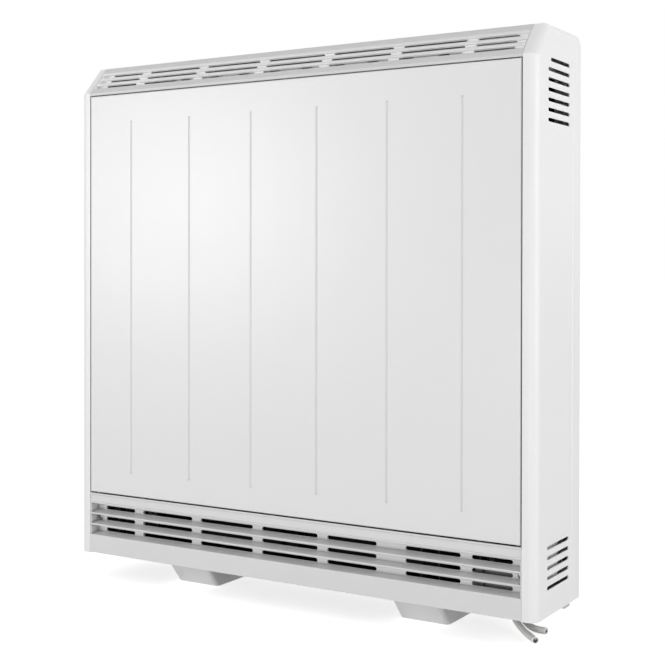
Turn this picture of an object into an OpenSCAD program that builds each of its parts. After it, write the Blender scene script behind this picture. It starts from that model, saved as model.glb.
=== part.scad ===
// Slim storage heater that stands against a wall on two feet.
// X runs along the front, -Y is the front and +Z is up.
// The origin is the centre of the casing's footprint, on the floor.
// Most modules are drawn in the casing's own frame, placed by in_case():
// Y is the depth behind the front plane and Z the height above the casing's lower edge.

/* [Casing] */
// Overall width across the two side panels
case_w = 685; // [650:5:900]
// Overall depth from the front panel to the rear edge
case_d = 137; // [135:1:160]
// Height of the casing without its feet
case_h = 680.5; // [675:0.5:760]
// Width of each side panel seen from the front
side_w = 17.5; // [16:0.5:24]
// How far the side panels reach below the lower grille
side_drop = 1; // [0:0.5:1.5]
// Thickness of the sheet steel
sheet_t = 1.2; // [0.8:0.1:1.6]
// Clearance between pieces that lie side by side
fit = 0.3; // [0.2:0.05:0.4]
// How far the back panel lies inside the rear edge
back_inset = 2.5; // [2.5:0.5:6]
// Depth of the sloped front at the top
slope_y = 33; // [30:1:36]
// Height of the sloped front at the top
slope_h = 38.5; // [37:0.5:43]
// Radius of the side panel's front edge
front_r = 11; // [6:0.5:13]
// Radius of the side panel's top edge
top_r = 6; // [4:0.5:8]
// Radius of the casing's upper rear corner
rear_r = 16; // [12:1:24]
// How far the top cover lies below the side panels' top
cover_drop = 0.9; // [0.2:0.1:2]

/* [Side vents] */
// Depth of the vent slots' front end behind the front plane
vent_y = 33.5; // [30:0.5:40]
// Length of a vent slot
vent_l = 66.5; // [50:0.5:70]
// Length of the short slot at the top of the upper group
vent_short_l = 59; // [40:0.5:62]
// Height of a vent slot
vent_h = 4.5; // [3:0.25:6]
// Distance from one vent slot to the next
vent_pitch = 11.6; // [9:0.1:14]
// Number of slots in the upper group
vent_top_n = 7; // [4:1:9]
// Number of slots in the lower group
vent_low_n = 5; // [3:1:6]
// Drop from the casing's top to the first slot of the upper group
vent_top_drop = 41; // [40:1:60]
// Height of the lowest slot of the lower group
vent_low_z = 31.8; // [26:0.2:40]
// Depth of the raised swage on the side behind the front plane
swage_y = 112; // [110:1:114]
// Width of the swage
swage_w = 4.6; // [3:0.2:6]
// How far the swage stands out
swage_h = 0.8; // [0.4:0.1:1.5]
// Distance of the swage's ends from the lower and upper edge
swage_end = 22; // [15:1:40]

/* [Front panel] */
// Width of the seam round the front panel
seam = 1.2; // [0.8:0.1:1.8]
// Sideways and downward set of the panel in its opening
seam_shift = 0.4; // [0:0.1:0.5]
// Radius of the panel's folded edges
panel_r = 2; // [1.5:0.1:3]
// Number of pressed grooves
groove_n = 6; // [3:1:6]
// Distance from one groove to the next
groove_pitch = 100; // [80:1:105]
// Width of a groove
groove_w = 3.2; // [2.4:0.1:4]
// Depth of a groove
groove_d = 0.8; // [0.5:0.05:1]
// Height of the flat panel below a groove
groove_low = 34; // [25:1:60]
// Height of the flat panel above a groove
groove_high = 40; // [25:1:60]

/* [Lower grille] */
// Height of the lower grille
grille_h = 83.4; // [82:0.2:90]
// Wall thickness of both grilles
grille_t = 2.2; // [1.8:0.1:2.6]
// Height of the plain skirt under the louvres
skirt_h = 25.4; // [22:0.2:28]
// Distance from one louvre blade to the next
blade_pitch = 15.3; // [14:0.1:16]
// Number of louvre channels
blade_n = 3; // [2:1:3]
// Rise of a blade from its front edge to the slotted wall
blade_rise = 2.4; // [1:0.2:3.4]
// Thickness of a louvre blade
blade_t = 2.4; // [2:0.1:2.8]
// Depth of the slotted wall behind the blades' front edges
louvre_d = 15.3; // [12:0.1:16]
// Height of a slot
slot_h = 5.2; // [4:0.1:6]
// Height of a slot's centre above the blade under it
slot_up = 5.5; // [5:0.1:6]
// Distance from one group of slots to the next
group_pitch = 99.5; // [90:0.5:105]
// Width of the wall between two groups of slots
group_gap = 14.5; // [10:0.5:20]
// Plain wall left at each end of the grille
group_end = 17; // [15:0.5:20]
// Place of the broad bridge between two groups
bridge_x = 148; // [140:1:156]
// Width of the broad bridge
bridge_w = 40; // [20:1:50]
// Distance of the grille screws from the side panel
screw_in = 6.8; // [6.6:0.1:7.6]

/* [Upper grille] */
// Height of the lip under the slope
lip_h = 3.4; // [2.6:0.1:4]
// Height of the lowest tread above the slope's lower edge
step_start = 7; // [6:0.1:8]
// Height from one tread of the louvre to the next
step_pitch = 8.15; // [7.8:0.05:8.5]
// Number of louvre channels
step_n = 3; // [2:1:3]
// Clear height of a channel over its tread
step_gap = 4.5; // [4:0.1:4.8]
// Depth of the slotted wall behind a tread's front edge
step_d = 11.5; // [10:0.1:12]
// Height of an outlet slot
outlet_h = 3.2; // [2.8:0.1:3.2]
// Depth of the upper grille from front to rear
crown_y = 48.4; // [46:0.2:50]

/* [Feet] */
// Height of the feet under the casing
foot_h = 35; // [30:1:60]
// Distance of each foot from the middle
foot_x = 174.5; // [140:0.5:200]
// Width of a foot on the floor
foot_w = 66.5; // [50:0.5:70]
// Depth of a foot on the floor
foot_l = 71.5; // [60:0.5:78]
// Depth of a foot's front edge on the floor behind the front plane
foot_y = 51.6; // [46:0.2:56]
// How far the foot's top reaches forward of its bottom
foot_rake = 29; // [10:0.5:30]
// How far the foot widens to each side towards the top
foot_flare = 0.8; // [0.5:0.1:5]
// Radius of the foot's upright edges
foot_r = 6; // [3:0.5:8]
// Wall thickness of a foot
foot_wall = 3; // [2.4:0.1:4]

/* [Core] */
// Width of the control compartment beside the core
control_w = 117.1; // [116:0.1:130]
// Height from the core's top plate to the casing's top
head_room = 74.9; // [74.5:0.1:90]
// Thickness of a storage brick
brick_t = 31; // [26:0.5:31]
// Number of brick rows
brick_rows = 3; // [3:1:3]
// Height of the element channel in a brick
channel_h = 70; // [62:1:90]
// Depth of the element channel in each brick face
channel_d = 5; // [4.8:0.1:8]
// Radius of the heating element's sheath
element_r = 4.2; // [3.2:0.1:4.4]
// Radius at which the element turns back
element_turn = 22; // [18:1:26]
// Height of the core shelf above the casing's lower edge
shelf_z = 88; // [87:1:92]
// Thickness of the insulation under the bricks
base_ins_t = 22; // [16:1:22]
// Thickness of the insulation at the ends
end_ins_t = 24; // [18:1:24]
// Thickness of the insulation in front of the bricks
front_ins_t = 20; // [15:1:20]
// Thickness of the insulation over the bricks
top_ins_t = 21; // [15:1:21]
// Gap between the left side panel and the core's insulation
core_gap = 11.7; // [10:0.1:14]
// Depth of the inner front plate behind the front plane
inner_plate_y = 24; // [22:0.5:25]
// Gap between the inner front plate's notched crest and the tread over it
crest_gap = 1; // [0.5:0.5:6]
// Width of a notch in the crest
notch_w = 15.3; // [10:0.1:20]
// Depth of a notch
notch_d = 6; // [4:0.5:8]
// Number of notches in the crest
notch_n = 9; // [5:2:9]
// Distance of the crest's right end from the side panel
crest_right_gap = 80; // [80:5:115]
// Distance of the crest's left end from the side panel
crest_left_gap = 135; // [100:5:160]

/* [Controls] */
// Width of the control flap
flap_w = 102; // [98:1:110]
// Height of the flap over the top cover
flap_h = 4.8; // [4.2:0.1:6]
// Slope of the flap's edges in plan
flap_bevel = 9; // [5:0.5:12]
// Radius of the flap's hinge pins
pin_r = 1.5; // [1.2:0.1:1.7]
// Radial running clearance of pins and spindles
run = 0.06; // [0.03:0.01:0.09]
// Depth of the control well under the top cover
well_h = 22; // [20:0.5:24]
// Radius of a control knob
knob_r = 17; // [14:0.5:18]
// Height of a control knob
knob_h = 13; // [10:0.5:14]
// Radius of the control spindles
spindle_r = 3; // [2.5:0.1:3.2]
// Turn of each control knob
knob_turn = 270; // [240:5:280]
// Opening angle of the damper flap
damper_turn = 30; // [20:1:30]
// Radius of the damper's shaft
shaft_r = 3; // [2.5:0.1:3.2]

/* [Hidden] */
$fn = 48;

EPS = 0.01;
WHITE = [0.93, 0.93, 0.93];
GREY = [0.78, 0.79, 0.79];
STEEL = [0.66, 0.67, 0.68];
ZINC = [0.74, 0.75, 0.76];
BLANKET = [0.82, 0.76, 0.62];
BRICK = [0.34, 0.26, 0.22];

// Casing frame
inner_x = case_w / 2 - side_w;
end_x = inner_x - fit;
slope_z = case_h - slope_h;
slope_a = atan2(slope_h, slope_y);
back_y = case_d - back_inset;
back_in_y = back_y - sheet_t;
base_z = 2;
floor_z = base_z + sheet_t;
post_w = 14;
end_wall_t = 1.6;
post_y = louvre_d + grille_t;
post_top = slope_z - lip_h - fit;
panel_low = grille_h;
panel_high = slope_z - lip_h;
panel_back = post_y - fit;
flange = 14;
screw_r = 2;
screw_hole = screw_r + 0.15;
head_r = 4.2;
head_h = 2;
cover_z = case_h - cover_drop;

// Core
core_x = -inner_x + core_gap;
brick_x = core_x + end_ins_t + fit;
brick_l = (inner_x - control_w - fit - end_ins_t - fit - brick_x - fit) / 2;
brick_end = brick_x + 2 * brick_l + fit;
core_end = brick_end + fit + end_ins_t;
wall_x = core_end + fit;
rear_ins_y = inner_plate_y + sheet_t + fit;
brick_y = rear_ins_y + front_ins_t + fit;
brick_mid = brick_y + brick_t + fit / 2;
brick_back = brick_y + 2 * brick_t + fit;
back_ins_y = brick_back + fit;
core_back = back_in_y - 2 * fit - sheet_t;
ins_z = shelf_z + sheet_t + fit;
brick_z = ins_z + base_ins_t + fit;
plate_top = case_h - head_room;
brick_h = (plate_top - sheet_t - fit - top_ins_t - fit - brick_z) / brick_rows;
brick_top = brick_z + brick_rows * brick_h;
top_ins_z = brick_top + fit;
top_plate_z = plate_top - sheet_t;
bush_r = 7;
crest_z = tread_z(1) - grille_t - crest_gap;
crest_right = inner_x - crest_right_gap;
crest_left = crest_left_gap - inner_x;
notch_side = 23.1;
notch_x = (crest_left + crest_right) / 2 - 8;
notch_pitch = (crest_right - crest_left - 2 * notch_side) / (notch_n - 1);

// Damper, turned by the output knob's cam
shaft_y = 70;
shaft_z = plate_top + 5;
damper_x0 = core_x + 63;
damper_x1 = wall_x - 28;
damper_l = 34;
bearing_t = 3;
arm_t = 4;
arm_h = 18.5;
arm_w = 8;
cam_up = 9.5;
cam_t = 6;

// Controls
flap_x1 = inner_x - 1;
flap_x0 = flap_x1 - flap_w;
flap_y0 = crown_y + 0.8;
hinge_y = 112;
barrel_r = pin_r + 1.1;
hinge_z = cover_z + sheet_t + 0.4;
well_x0 = flap_x0 + 6.3;
well_x1 = flap_x1 - 6.3;
well_y0 = flap_y0 + 5.8;
well_y1 = hinge_y + barrel_r + 3.2;
well_t = 2;
well_z = cover_z - well_h;
knob_y = 84;
knob_x0 = well_x0 + well_t + knob_r + 4;
knob_x1 = well_x1 - well_t - knob_r - 4;
knob_z = well_z + well_t + 0.6;
stat_z = well_z - fit;
stat_h = 42;
stat_w = 36;
stat_d = 34;
screw_y = [well_y0 + 7.5, well_y1 - 10];
control_spots = [[knob_x0, screw_y[0]], [knob_x0, screw_y[1]],
  [knob_x1 - 9, screw_y[1]], [knob_x1 + 9, screw_y[1]]];

// Terminal area
tray_z = 20;
tray_x1 = inner_x - 6;
tray_x0 = tray_x1 - 69;

// Cable ends: X from the right side panel, Y, and height over a cable lying on the floor
cable_r = 4;
snout_l = 24;
lying_z = cable_r + 0.1 - foot_h;
function tail_route(points) = [for (p = points) [inner_x + p[0], p[1], lying_z + p[2]]];
SUPPLY_ROUTE = tail_route([[-63, 103, 18], [-55, 94.5, 13], [-46, 86, 8.4], [-35, 74.5, 4],
  [-23, 62.5, 1], [-11, 50.5, 0], [2, 37, 0]]);
CONTROL_ROUTE = tail_route([[-57, 116, 19], [-49, 107.5, 12.2], [-40.5, 99, 6], [-31, 90.6, 1.6],
  [-21.5, 84, 0.1], [-11.5, 79.8, 0], [-1, 78.2, 0.3]]);

module in_case() {
  translate([0, -case_d / 2, foot_h]) children();
}

// Extrudes a (Y, Z) outline along X from x0 to x1
module along_x(x0, x1) {
  translate([x0, 0, 0]) rotate([90, 0, 90]) linear_extrude(x1 - x0) children();
}

// Extrudes an (X, Z) outline along Y from y0 to y1
module along_y(y0, y1) {
  translate([0, y1, 0]) rotate([90, 0, 0]) linear_extrude(y1 - y0) children();
}

module block(x0, x1, y0, y1, z0, z1) {
  translate([x0, y0, z0]) cube([x1 - x0, y1 - y0, z1 - z0]);
}

// A slot with round ends, from x0 to x1 and h high
module long_hole(x0, x1, h) {
  translate([x0 + h / 2, -h / 2]) square([x1 - x0 - h, h]);
  translate([x0 + h / 2, 0]) circle(h / 2);
  translate([x1 - h / 2, 0]) circle(h / 2);
}

// A rectangle from the origin to (w, l) whose corner at (w, 0) is rounded
module round_corner(w, l, r) {
  square([w - r, l]);
  translate([0, r]) square([w, l - r]);
  translate([w - r, r]) circle(r);
}

module rounded_rect(w, l, r) {
  translate([r, 0]) square([w - 2 * r, l]);
  translate([0, r]) square([w, l - 2 * r]);
  for (x = [r, w - r], y = [r, l - r]) translate([x, y]) circle(r);
}

// ---- Side panels ----

// Side outline in (Y, Z), inset by t all round
function slope_low(t) = slope_z - t * (1 - sin(slope_a)) / cos(slope_a);
function slope_high(t) = slope_y + t * (1 - cos(slope_a)) / sin(slope_a);

module side_outline(t) {
  r = max(rear_r - t, 1);
  y1 = case_d - t;
  z1 = case_h - t;
  polygon([[t, t - side_drop], [t, slope_low(t)], [slope_high(t), z1],
    [y1 - r, z1], [y1, z1 - r], [y1, t - side_drop]]);
  translate([y1 - r, z1 - r]) circle(r);
}

// The right side panel's body, inset by t, from x0 outwards
module side_body(t, x0) {
  w = case_w / 2 - t - x0;
  reach = 2 * case_h;
  intersection() {
    along_x(x0, x0 + w) side_outline(t);
    translate([x0, t, -case_h / 2]) linear_extrude(reach) round_corner(w, case_d, front_r - t);
    translate([x0, 0, slope_z]) rotate([slope_a - 90, 0, 0])
      translate([0, t, -reach / 2]) linear_extrude(reach) round_corner(w, reach, front_r - t);
    translate([x0, reach / 2, case_h - t]) rotate([90, 0, 0])
      linear_extrude(reach) mirror([0, 1]) round_corner(w, reach, top_r - t);
  }
}

module vent(z, l) {
  translate([0, 0, z]) along_x(case_w / 2 - sheet_t - 1, case_w / 2 + 1)
    long_hole(vent_y + vent_l - l, vent_y + vent_l, vent_h);
}

module vents() {
  for (i = [0:vent_top_n - 1])
    vent(case_h - vent_top_drop - i * vent_pitch, i == 0 ? vent_short_l : vent_l);
  for (i = [0:vent_low_n - 1])
    vent(vent_low_z + i * vent_pitch, vent_l);
}

module swage() {
  r = (pow(swage_w / 2, 2) + pow(swage_h, 2)) / (2 * swage_h);
  low = swage_end - side_drop;
  high = case_h - swage_end - 8;
  intersection() {
    translate([case_w / 2 + swage_h - r, swage_y, 0]) {
      translate([0, 0, low]) cylinder(r = r, h = high - low);
      translate([0, 0, low]) sphere(r);
      translate([0, 0, high]) sphere(r);
    }
    block(case_w / 2 - sheet_t / 2, case_w / 2 + 2, swage_y - 5, swage_y + 5, 0, case_h);
  }
}

module side_panel() {
  difference() {
    side_body(0, inner_x);
    side_body(sheet_t, inner_x + sheet_t);
    intersection() {
      side_body(sheet_t, inner_x - 1);
      along_x(inner_x - 1, inner_x + 2 * sheet_t) side_outline(flange);
    }
    vents();
  }
  swage();
}

module right_side_panel() {
  color(WHITE) in_case() side_panel();
}

module left_side_panel() {
  color(WHITE) in_case() mirror([1, 0, 0]) side_panel();
}

// ---- Front panel ----

module groove_at(x, y, r, z0, z1) {
  translate([x, y, z0]) cylinder(r = r, h = z1 - z0);
  translate([x, y, z0]) sphere(r);
  translate([x, y, z1]) sphere(r);
}

// The panel's tray, inset by t
module panel_tray(t) {
  x0 = -inner_x + seam - seam_shift + t;
  x1 = inner_x - seam - seam_shift - t;
  z0 = panel_low + seam + seam_shift + t;
  z1 = panel_high - seam + seam_shift - t;
  r = panel_r - (t > 0 ? t : 0);
  intersection() {
    translate([0, 0, z0]) linear_extrude(z1 - z0) {
      translate([0, t]) round_corner(x1, case_d, r);
      translate([0, t]) mirror([1, 0]) round_corner(-x0, case_d, r);
    }
    along_x(x0, x1) translate([t, z0]) {
      h = z1 - z0;
      translate([r, 0]) square([case_d, h]);
      translate([0, r]) square([case_d, h - 2 * r]);
      translate([r, r]) circle(r);
      translate([r, h - r]) circle(r);
    }
    block(-case_w, case_w, -1, panel_back + (t > 0 ? 1 : 0), 0, case_h);
  }
}

module front_panel() {
  r = (pow(groove_w / 2, 2) + pow(groove_d, 2)) / (2 * groove_d);
  z0 = panel_low + groove_low;
  z1 = panel_high - groove_high;
  color(WHITE) in_case() difference() {
    union() {
      difference() {
        panel_tray(0);
        panel_tray(sheet_t);
      }
      for (i = [0:groove_n - 1])
        intersection() {
          groove_at((i - (groove_n - 1) / 2) * groove_pitch, groove_d - r, r + sheet_t, z0, z1);
          block(-case_w, case_w, sheet_t / 2, case_d, 0, case_h);
        }
    }
    for (i = [0:groove_n - 1])
      groove_at((i - (groove_n - 1) / 2) * groove_pitch, groove_d - r, r, z0, z1);
  }
}

// ---- Louvred grilles ----

// Limits along X of slot group i, counted from the middle; in the lower grille
// a broad bridge shortens the groups beside it
group_half = (group_pitch - group_gap) / 2;
function group_low(i) = max(i * group_pitch - group_half, group_end - inner_x);
function group_high(i) = min(i * group_pitch + group_half, inner_x - group_end);
function bridged(i) = abs(bridge_x - i * group_pitch) < group_half + bridge_w / 2;
function inlet_low(i) = bridged(i) && i * group_pitch > bridge_x
  ? max(group_low(i), bridge_x + bridge_w / 2) : group_low(i);
function inlet_high(i) = bridged(i) && i * group_pitch < bridge_x
  ? min(group_high(i), bridge_x - bridge_w / 2) : group_high(i);

louvre_top = skirt_h + blade_n * blade_pitch;

module blade(z) {
  r = blade_t / 2;
  translate([r, z - r]) circle(r);
  polygon([[r, z - blade_t], [r, z], [louvre_d + EPS, z + blade_rise],
    [louvre_d + EPS, z + blade_rise - blade_t]]);
}

module lower_section() {
  square([grille_t, skirt_h - blade_t / 2]);
  for (i = [0:blade_n]) blade(skirt_h + i * blade_pitch);
  translate([louvre_d, skirt_h - blade_t]) square([grille_t, louvre_top - skirt_h + blade_t + blade_rise]);
  translate([0.8, louvre_top - blade_t / 2]) square([grille_t, grille_h - louvre_top + blade_t / 2]);
  translate([0, grille_h - 2]) square([grille_t + 0.8, 2]);
}

module lower_grille() {
  color(GREY) in_case() difference() {
    union() {
      along_x(-end_x, end_x) lower_section();
      for (x = [-end_x, end_x - end_wall_t])
        along_x(x, x + end_wall_t) translate([0.8, 0]) square([post_y - 0.8, louvre_top + blade_rise]);
    }
    for (row = [0:blade_n - 1], i = [-3:3])
      if (inlet_high(i) - inlet_low(i) > 3 * slot_h)
        translate([0, 0, skirt_h + row * blade_pitch + slot_up])
          along_y(louvre_d - 1, louvre_d + grille_t + 1) long_hole(inlet_low(i), inlet_high(i), slot_h);
    for (x = [-1, 1])
      translate([x * (inner_x - screw_in), 0, grille_screw_z]) rotate([-90, 0, 0])
        cylinder(r = screw_hole, h = case_d / 2);
  }
}

grille_screw_z = skirt_h + blade_pitch + 6.9;

// Height of tread i, the slope's depth at a height and the slotted wall behind tread i
function tread_z(i) = slope_z + step_start + i * step_pitch;
function on_slope(z) = (z - slope_z) / tan(slope_a);
function step_wall_y(i) = on_slope(tread_z(i)) + step_d;

// Section of the upper grille in (Y, Z): level treads set into the slope, each with
// an upright wall that lies under the nose of the next
module upper_section() {
  lip_z = slope_z - lip_h;
  ledge_z = cover_z - sheet_t - fit - grille_t;
  last = step_n - 1;
  roof_z = tread_z(last) + step_gap + grille_t;
  steps = [for (i = [0:last]) each [[on_slope(tread_z(i)), tread_z(i)], [step_wall_y(i), tread_z(i)],
    [step_wall_y(i), tread_z(i) + step_gap], [on_slope(tread_z(i + 1)), tread_z(i) + step_gap]]];
  crown = [[on_slope(tread_z(step_n)), tread_z(step_n)], [slope_y, case_h], [crown_y, case_h],
    [crown_y, ledge_z + grille_t], [crown_y + 6, ledge_z + grille_t], [crown_y + 6, ledge_z],
    [crown_y - 3, ledge_z], [crown_y - 3, case_h - grille_t], [slope_high(grille_t), case_h - grille_t],
    [on_slope(roof_z) + grille_t / sin(slope_a), roof_z]];
  rear = [for (i = [last:-1:0]) each [
    [step_wall_y(i) + grille_t, i == last ? roof_z : tread_z(i + 1) - grille_t],
    [step_wall_y(i) + grille_t, tread_z(i) - grille_t]]];
  foot_z = tread_z(0) - grille_t;
  polygon(concat([[0, lip_z], [0, slope_z]], steps, crown, rear,
    [[on_slope(foot_z) + grille_t / sin(slope_a), foot_z], [grille_t, slope_low(grille_t)], [grille_t, lip_z]]));
}

module outlet_slots() {
  roof = 0.4;
  for (i = [0:step_n - 1], k = [-3:3])
    translate([group_low(k), 0, tread_z(i) + step_gap - roof - outlet_h])
      along_y(step_wall_y(i) - 1, step_wall_y(i) + grille_t + 1)
        rounded_rect(group_high(k) - group_low(k), outlet_h, 1);
}

module top_grille() {
  color(GREY) in_case() difference() {
    union() {
      along_x(-end_x, end_x) upper_section();
      for (x = [-end_x, end_x - end_wall_t])
        along_x(x, x + end_wall_t) polygon([[0, slope_z - lip_h], [0, slope_z], [slope_y, case_h],
          [crown_y - 3, case_h], [crown_y - 3, case_h - 16], [post_y + 8, slope_z - lip_h]]);
    }
    outlet_slots();
  }
}

// ---- Top cover and control well ----

// Outer form of the top cover in (Y, Z), inset by t all round
module cover_form(t) {
  r = rear_r - t;
  y0 = crown_y + fit - t;
  y1 = back_y - t;
  z0 = post_top + 2 - t;
  z1 = cover_z - t;
  translate([y0, z0]) square([y1 - r - y0, z1 - z0]);
  translate([y0, z0]) square([y1 - y0, z1 - r - z0]);
  translate([y1 - r, z1 - r]) circle(r);
}

module top_cover_section() {
  difference() {
    cover_form(0);
    cover_form(sheet_t);
  }
}

module top_cover() {
  color(WHITE) in_case() difference() {
    union() {
      along_x(-end_x, end_x) top_cover_section();
      for (x = [-end_x, end_x - sheet_t])
        block(x, x + sheet_t, crown_y + 10, back_y - rear_r - 2, cover_z - 12, cover_z - sheet_t / 2);
    }
    block(well_x0 - fit, well_x1 + fit, well_y0 - fit, well_y1 + fit, cover_z - 2 * sheet_t, cover_z + 1);
  }
}

// The two ears inside the well that carry the hinge pins
ear_t = well_t + 1;
ear_x = [well_x0, well_x1 - ear_t];

module control_housing() {
  rim = 3;
  color(GREY) in_case() difference() {
    union() {
      difference() {
        union() {
          block(well_x0 - rim, well_x1 + rim, well_y0 - rim, well_y1 + rim, cover_z, cover_z + sheet_t);
          block(well_x0, well_x1, well_y0, well_y1, well_z, cover_z + sheet_t / 2);
        }
        block(well_x0 + well_t, well_x1 - well_t, well_y0 + well_t, well_y1 - well_t,
          well_z + well_t, cover_z + 5);
      }
      for (x = ear_x) along_x(x, x + ear_t) {
        translate([hinge_y, hinge_z]) circle(barrel_r);
        translate([hinge_y - barrel_r, cover_z - 6]) square([2 * barrel_r, hinge_z - cover_z + 6]);
      }
    }
    translate([well_x0 - 1, hinge_y, hinge_z]) rotate([0, 90, 0])
      cylinder(r = pin_r + run, h = well_x1 - well_x0 + 2);
    for (x = [knob_x0, knob_x1])
      translate([x, knob_y, well_z - 1]) cylinder(r = spindle_r + run, h = well_t + 2);
    for (p = control_spots)
      translate([p[0], p[1], well_z - 1]) cylinder(r = screw_hole, h = well_t + 2);
  }
}

module flap_pins() {
  color(STEEL) in_case()
    for (x = [well_x0, well_x1 - 12])
      translate([x, hinge_y, hinge_z]) rotate([0, 90, 0]) cylinder(r = pin_r, h = 12);
}

// The closed flap's solid, inset by t, with sloped front and side edges
module flap_form(t) {
  z0 = cover_z + sheet_t + fit;
  z1 = cover_z + flap_h - t;
  b = flap_bevel;
  intersection() {
    along_y(flap_y0, hinge_y) polygon([[flap_x0 + t, z0 - (t > 0 ? 1 : 0)], [flap_x0 + t, z0 + 0.8],
      [flap_x0 + b + t, z1], [flap_x1 - b - t, z1], [flap_x1 - t, z0 + 0.8],
      [flap_x1 - t, z0 - (t > 0 ? 1 : 0)]]);
    along_x(flap_x0, flap_x1) polygon([[flap_y0 + t, z0 - (t > 0 ? 1 : 0)], [flap_y0 + t, z0 + 0.8],
      [flap_y0 + b + t, z1], [hinge_y - t, z1], [hinge_y - t, z0 - (t > 0 ? 1 : 0)]]);
  }
}

module control_flap() {
  clear = 0.4;
  color(GREY) in_case() difference() {
    union() {
      difference() {
        flap_form(0);
        flap_form(1.8);
      }
      translate([well_x0 + ear_t + fit, hinge_y, hinge_z]) rotate([0, 90, 0])
        cylinder(r = barrel_r, h = well_x1 - well_x0 - 2 * ear_t - 2 * fit);
    }
    translate([well_x0, hinge_y, hinge_z]) rotate([0, 90, 0])
      cylinder(r = pin_r + run, h = well_x1 - well_x0);
    for (x = ear_x)
      block(x - clear, x + ear_t + clear, hinge_y - barrel_r - clear, hinge_y + 5, cover_z, cover_z + 9);
    for (x = [flap_x0 - 1, well_x1 - EPS])
      block(x, x + well_x0 - flap_x0 + 1 + EPS, hinge_y - 1, hinge_y + 5, cover_z, cover_z + 9);
  }
}

// ---- Knobs, spindles and the charge thermostat ----

module knob(x) {
  grip = 5;
  in_case() translate([x, knob_y, knob_z]) difference() {
    union() {
      rotate_extrude() polygon([[0, 0], [knob_r, 0], [knob_r, 2.4], [knob_r - 3.5, 3.6],
        [knob_r - 4.5, 5], [0, 5]]);
      intersection() {
        rotate_extrude() polygon([[0, 4], [knob_r - 4.5, 4], [knob_r - 5.5, knob_h - 1], [knob_r - 6.5, knob_h], [0, knob_h]]);
        translate([-grip / 2, -knob_r, 0]) cube([grip, 2 * knob_r, knob_h]);
      }
    }
    translate([0, 0, -1]) cylinder(r = spindle_r + run, h = 8);
  }
}

module input_knob() {
  color(WHITE) knob(knob_x0);
}

module output_knob() {
  color(WHITE) knob(knob_x1);
}

module input_spindle() {
  color(ZINC) in_case() translate([knob_x0, knob_y, stat_z - 8])
    cylinder(r = spindle_r, h = knob_z + 6 - stat_z + 8);
}

module output_spindle() {
  z0 = shaft_z + cam_up - 6;
  color(ZINC) in_case() translate([knob_x1, knob_y, z0]) cylinder(r = spindle_r, h = knob_z + 6 - z0);
}

// Radius of the cam where it faces the arm after a turn of a degrees: it keeps
// the arm's lean in step with the knob, less the clearance
function arm_lean(a) = damper_turn * min(a, knob_turn) / knob_turn;
function cam_lift(a) = cam_up * tan(arm_lean(a)) - arm_t / 2 / cos(arm_lean(a));
function cam_rise(a) = knob_y - shaft_y - fit + cam_lift(a);
function cam_r(a) = a <= knob_turn ? cam_rise(a)
  : cam_rise(knob_turn) + (cam_rise(0) - cam_rise(knob_turn)) * min(1, (a - knob_turn) / 45);

module output_cam() {
  step = 10;
  color(BLANKET) in_case() translate([knob_x1, knob_y, shaft_z + cam_up]) difference() {
    linear_extrude(cam_t)
      polygon([for (a = [0:step:360 - step]) cam_r(a) * [sin(a), -cos(a)]]);
    translate([0, 0, -1]) cylinder(r = spindle_r + run, h = cam_t + 2);
  }
}

// Carries the lower end of the output spindle, under the cam
module spindle_bracket() {
  x0 = knob_x1 - 16;
  x1 = knob_x1 + 16;
  y1 = knob_y + 20;
  z0 = shaft_z + cam_up - fit - sheet_t;
  color(ZINC) in_case() difference() {
    union() {
      block(x0, x1, knob_y - 6, y1, z0, z0 + sheet_t);
      block(x0, x1, y1 - sheet_t, y1, z0, well_z);
      block(x0, x1, y1 - sheet_t, screw_y[1] + 6, well_z - sheet_t, well_z);
    }
    translate([knob_x1, knob_y, z0 - 1]) cylinder(r = spindle_r + run, h = sheet_t + 2);
    for (x = [knob_x1 - 9, knob_x1 + 9])
      translate([x, screw_y[1], well_z - 5]) cylinder(r = screw_hole, h = 10);
  }
}

module control_screws() {
  color(STEEL) in_case()
    for (p = control_spots) translate([p[0], p[1], well_z + well_t]) {
      screw_head();
      translate([0, 0, -well_t - 5]) cylinder(r = screw_r, h = well_t + 5 + EPS);
    }
}

// A pan head with a cross recess, standing on the XY plane
module screw_head() {
  difference() {
    intersection() {
      cylinder(r = head_r, h = head_h);
      translate([0, 0, head_h - 6.5]) sphere(6.5);
    }
    for (a = [0, 90]) rotate(a) translate([-2.4, -0.6, head_h - 1.2]) cube([4.8, 1.2, 2]);
  }
}

module charge_thermostat() {
  color(GREY) in_case() translate([knob_x0, knob_y, stat_z]) difference() {
    union() {
      translate([-stat_w / 2, -stat_d / 2, -stat_h]) cube([stat_w, stat_d, stat_h]);
      block(-7, 7, screw_y[0] - 6 - knob_y, screw_y[1] + 6 - knob_y, -sheet_t, fit);
      for (x = [-10, 0, 10]) translate([x - 3, -stat_d / 2 - 7, 8 - stat_h]) cube([6, 8, 1]);
    }
    translate([0, 0, -9]) cylinder(r = spindle_r + run, h = 12);
    for (y = screw_y) translate([0, y - knob_y, -6]) cylinder(r = screw_hole, h = 8);
  }
}

// ---- Damper in the air outlet over the core ----

module damper_shaft() {
  color(ZINC) in_case() translate([damper_x0 - 16, shaft_y, shaft_z]) rotate([0, 90, 0])
    cylinder(r = shaft_r, h = knob_x1 + 8 - damper_x0 + 16);
}

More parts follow.
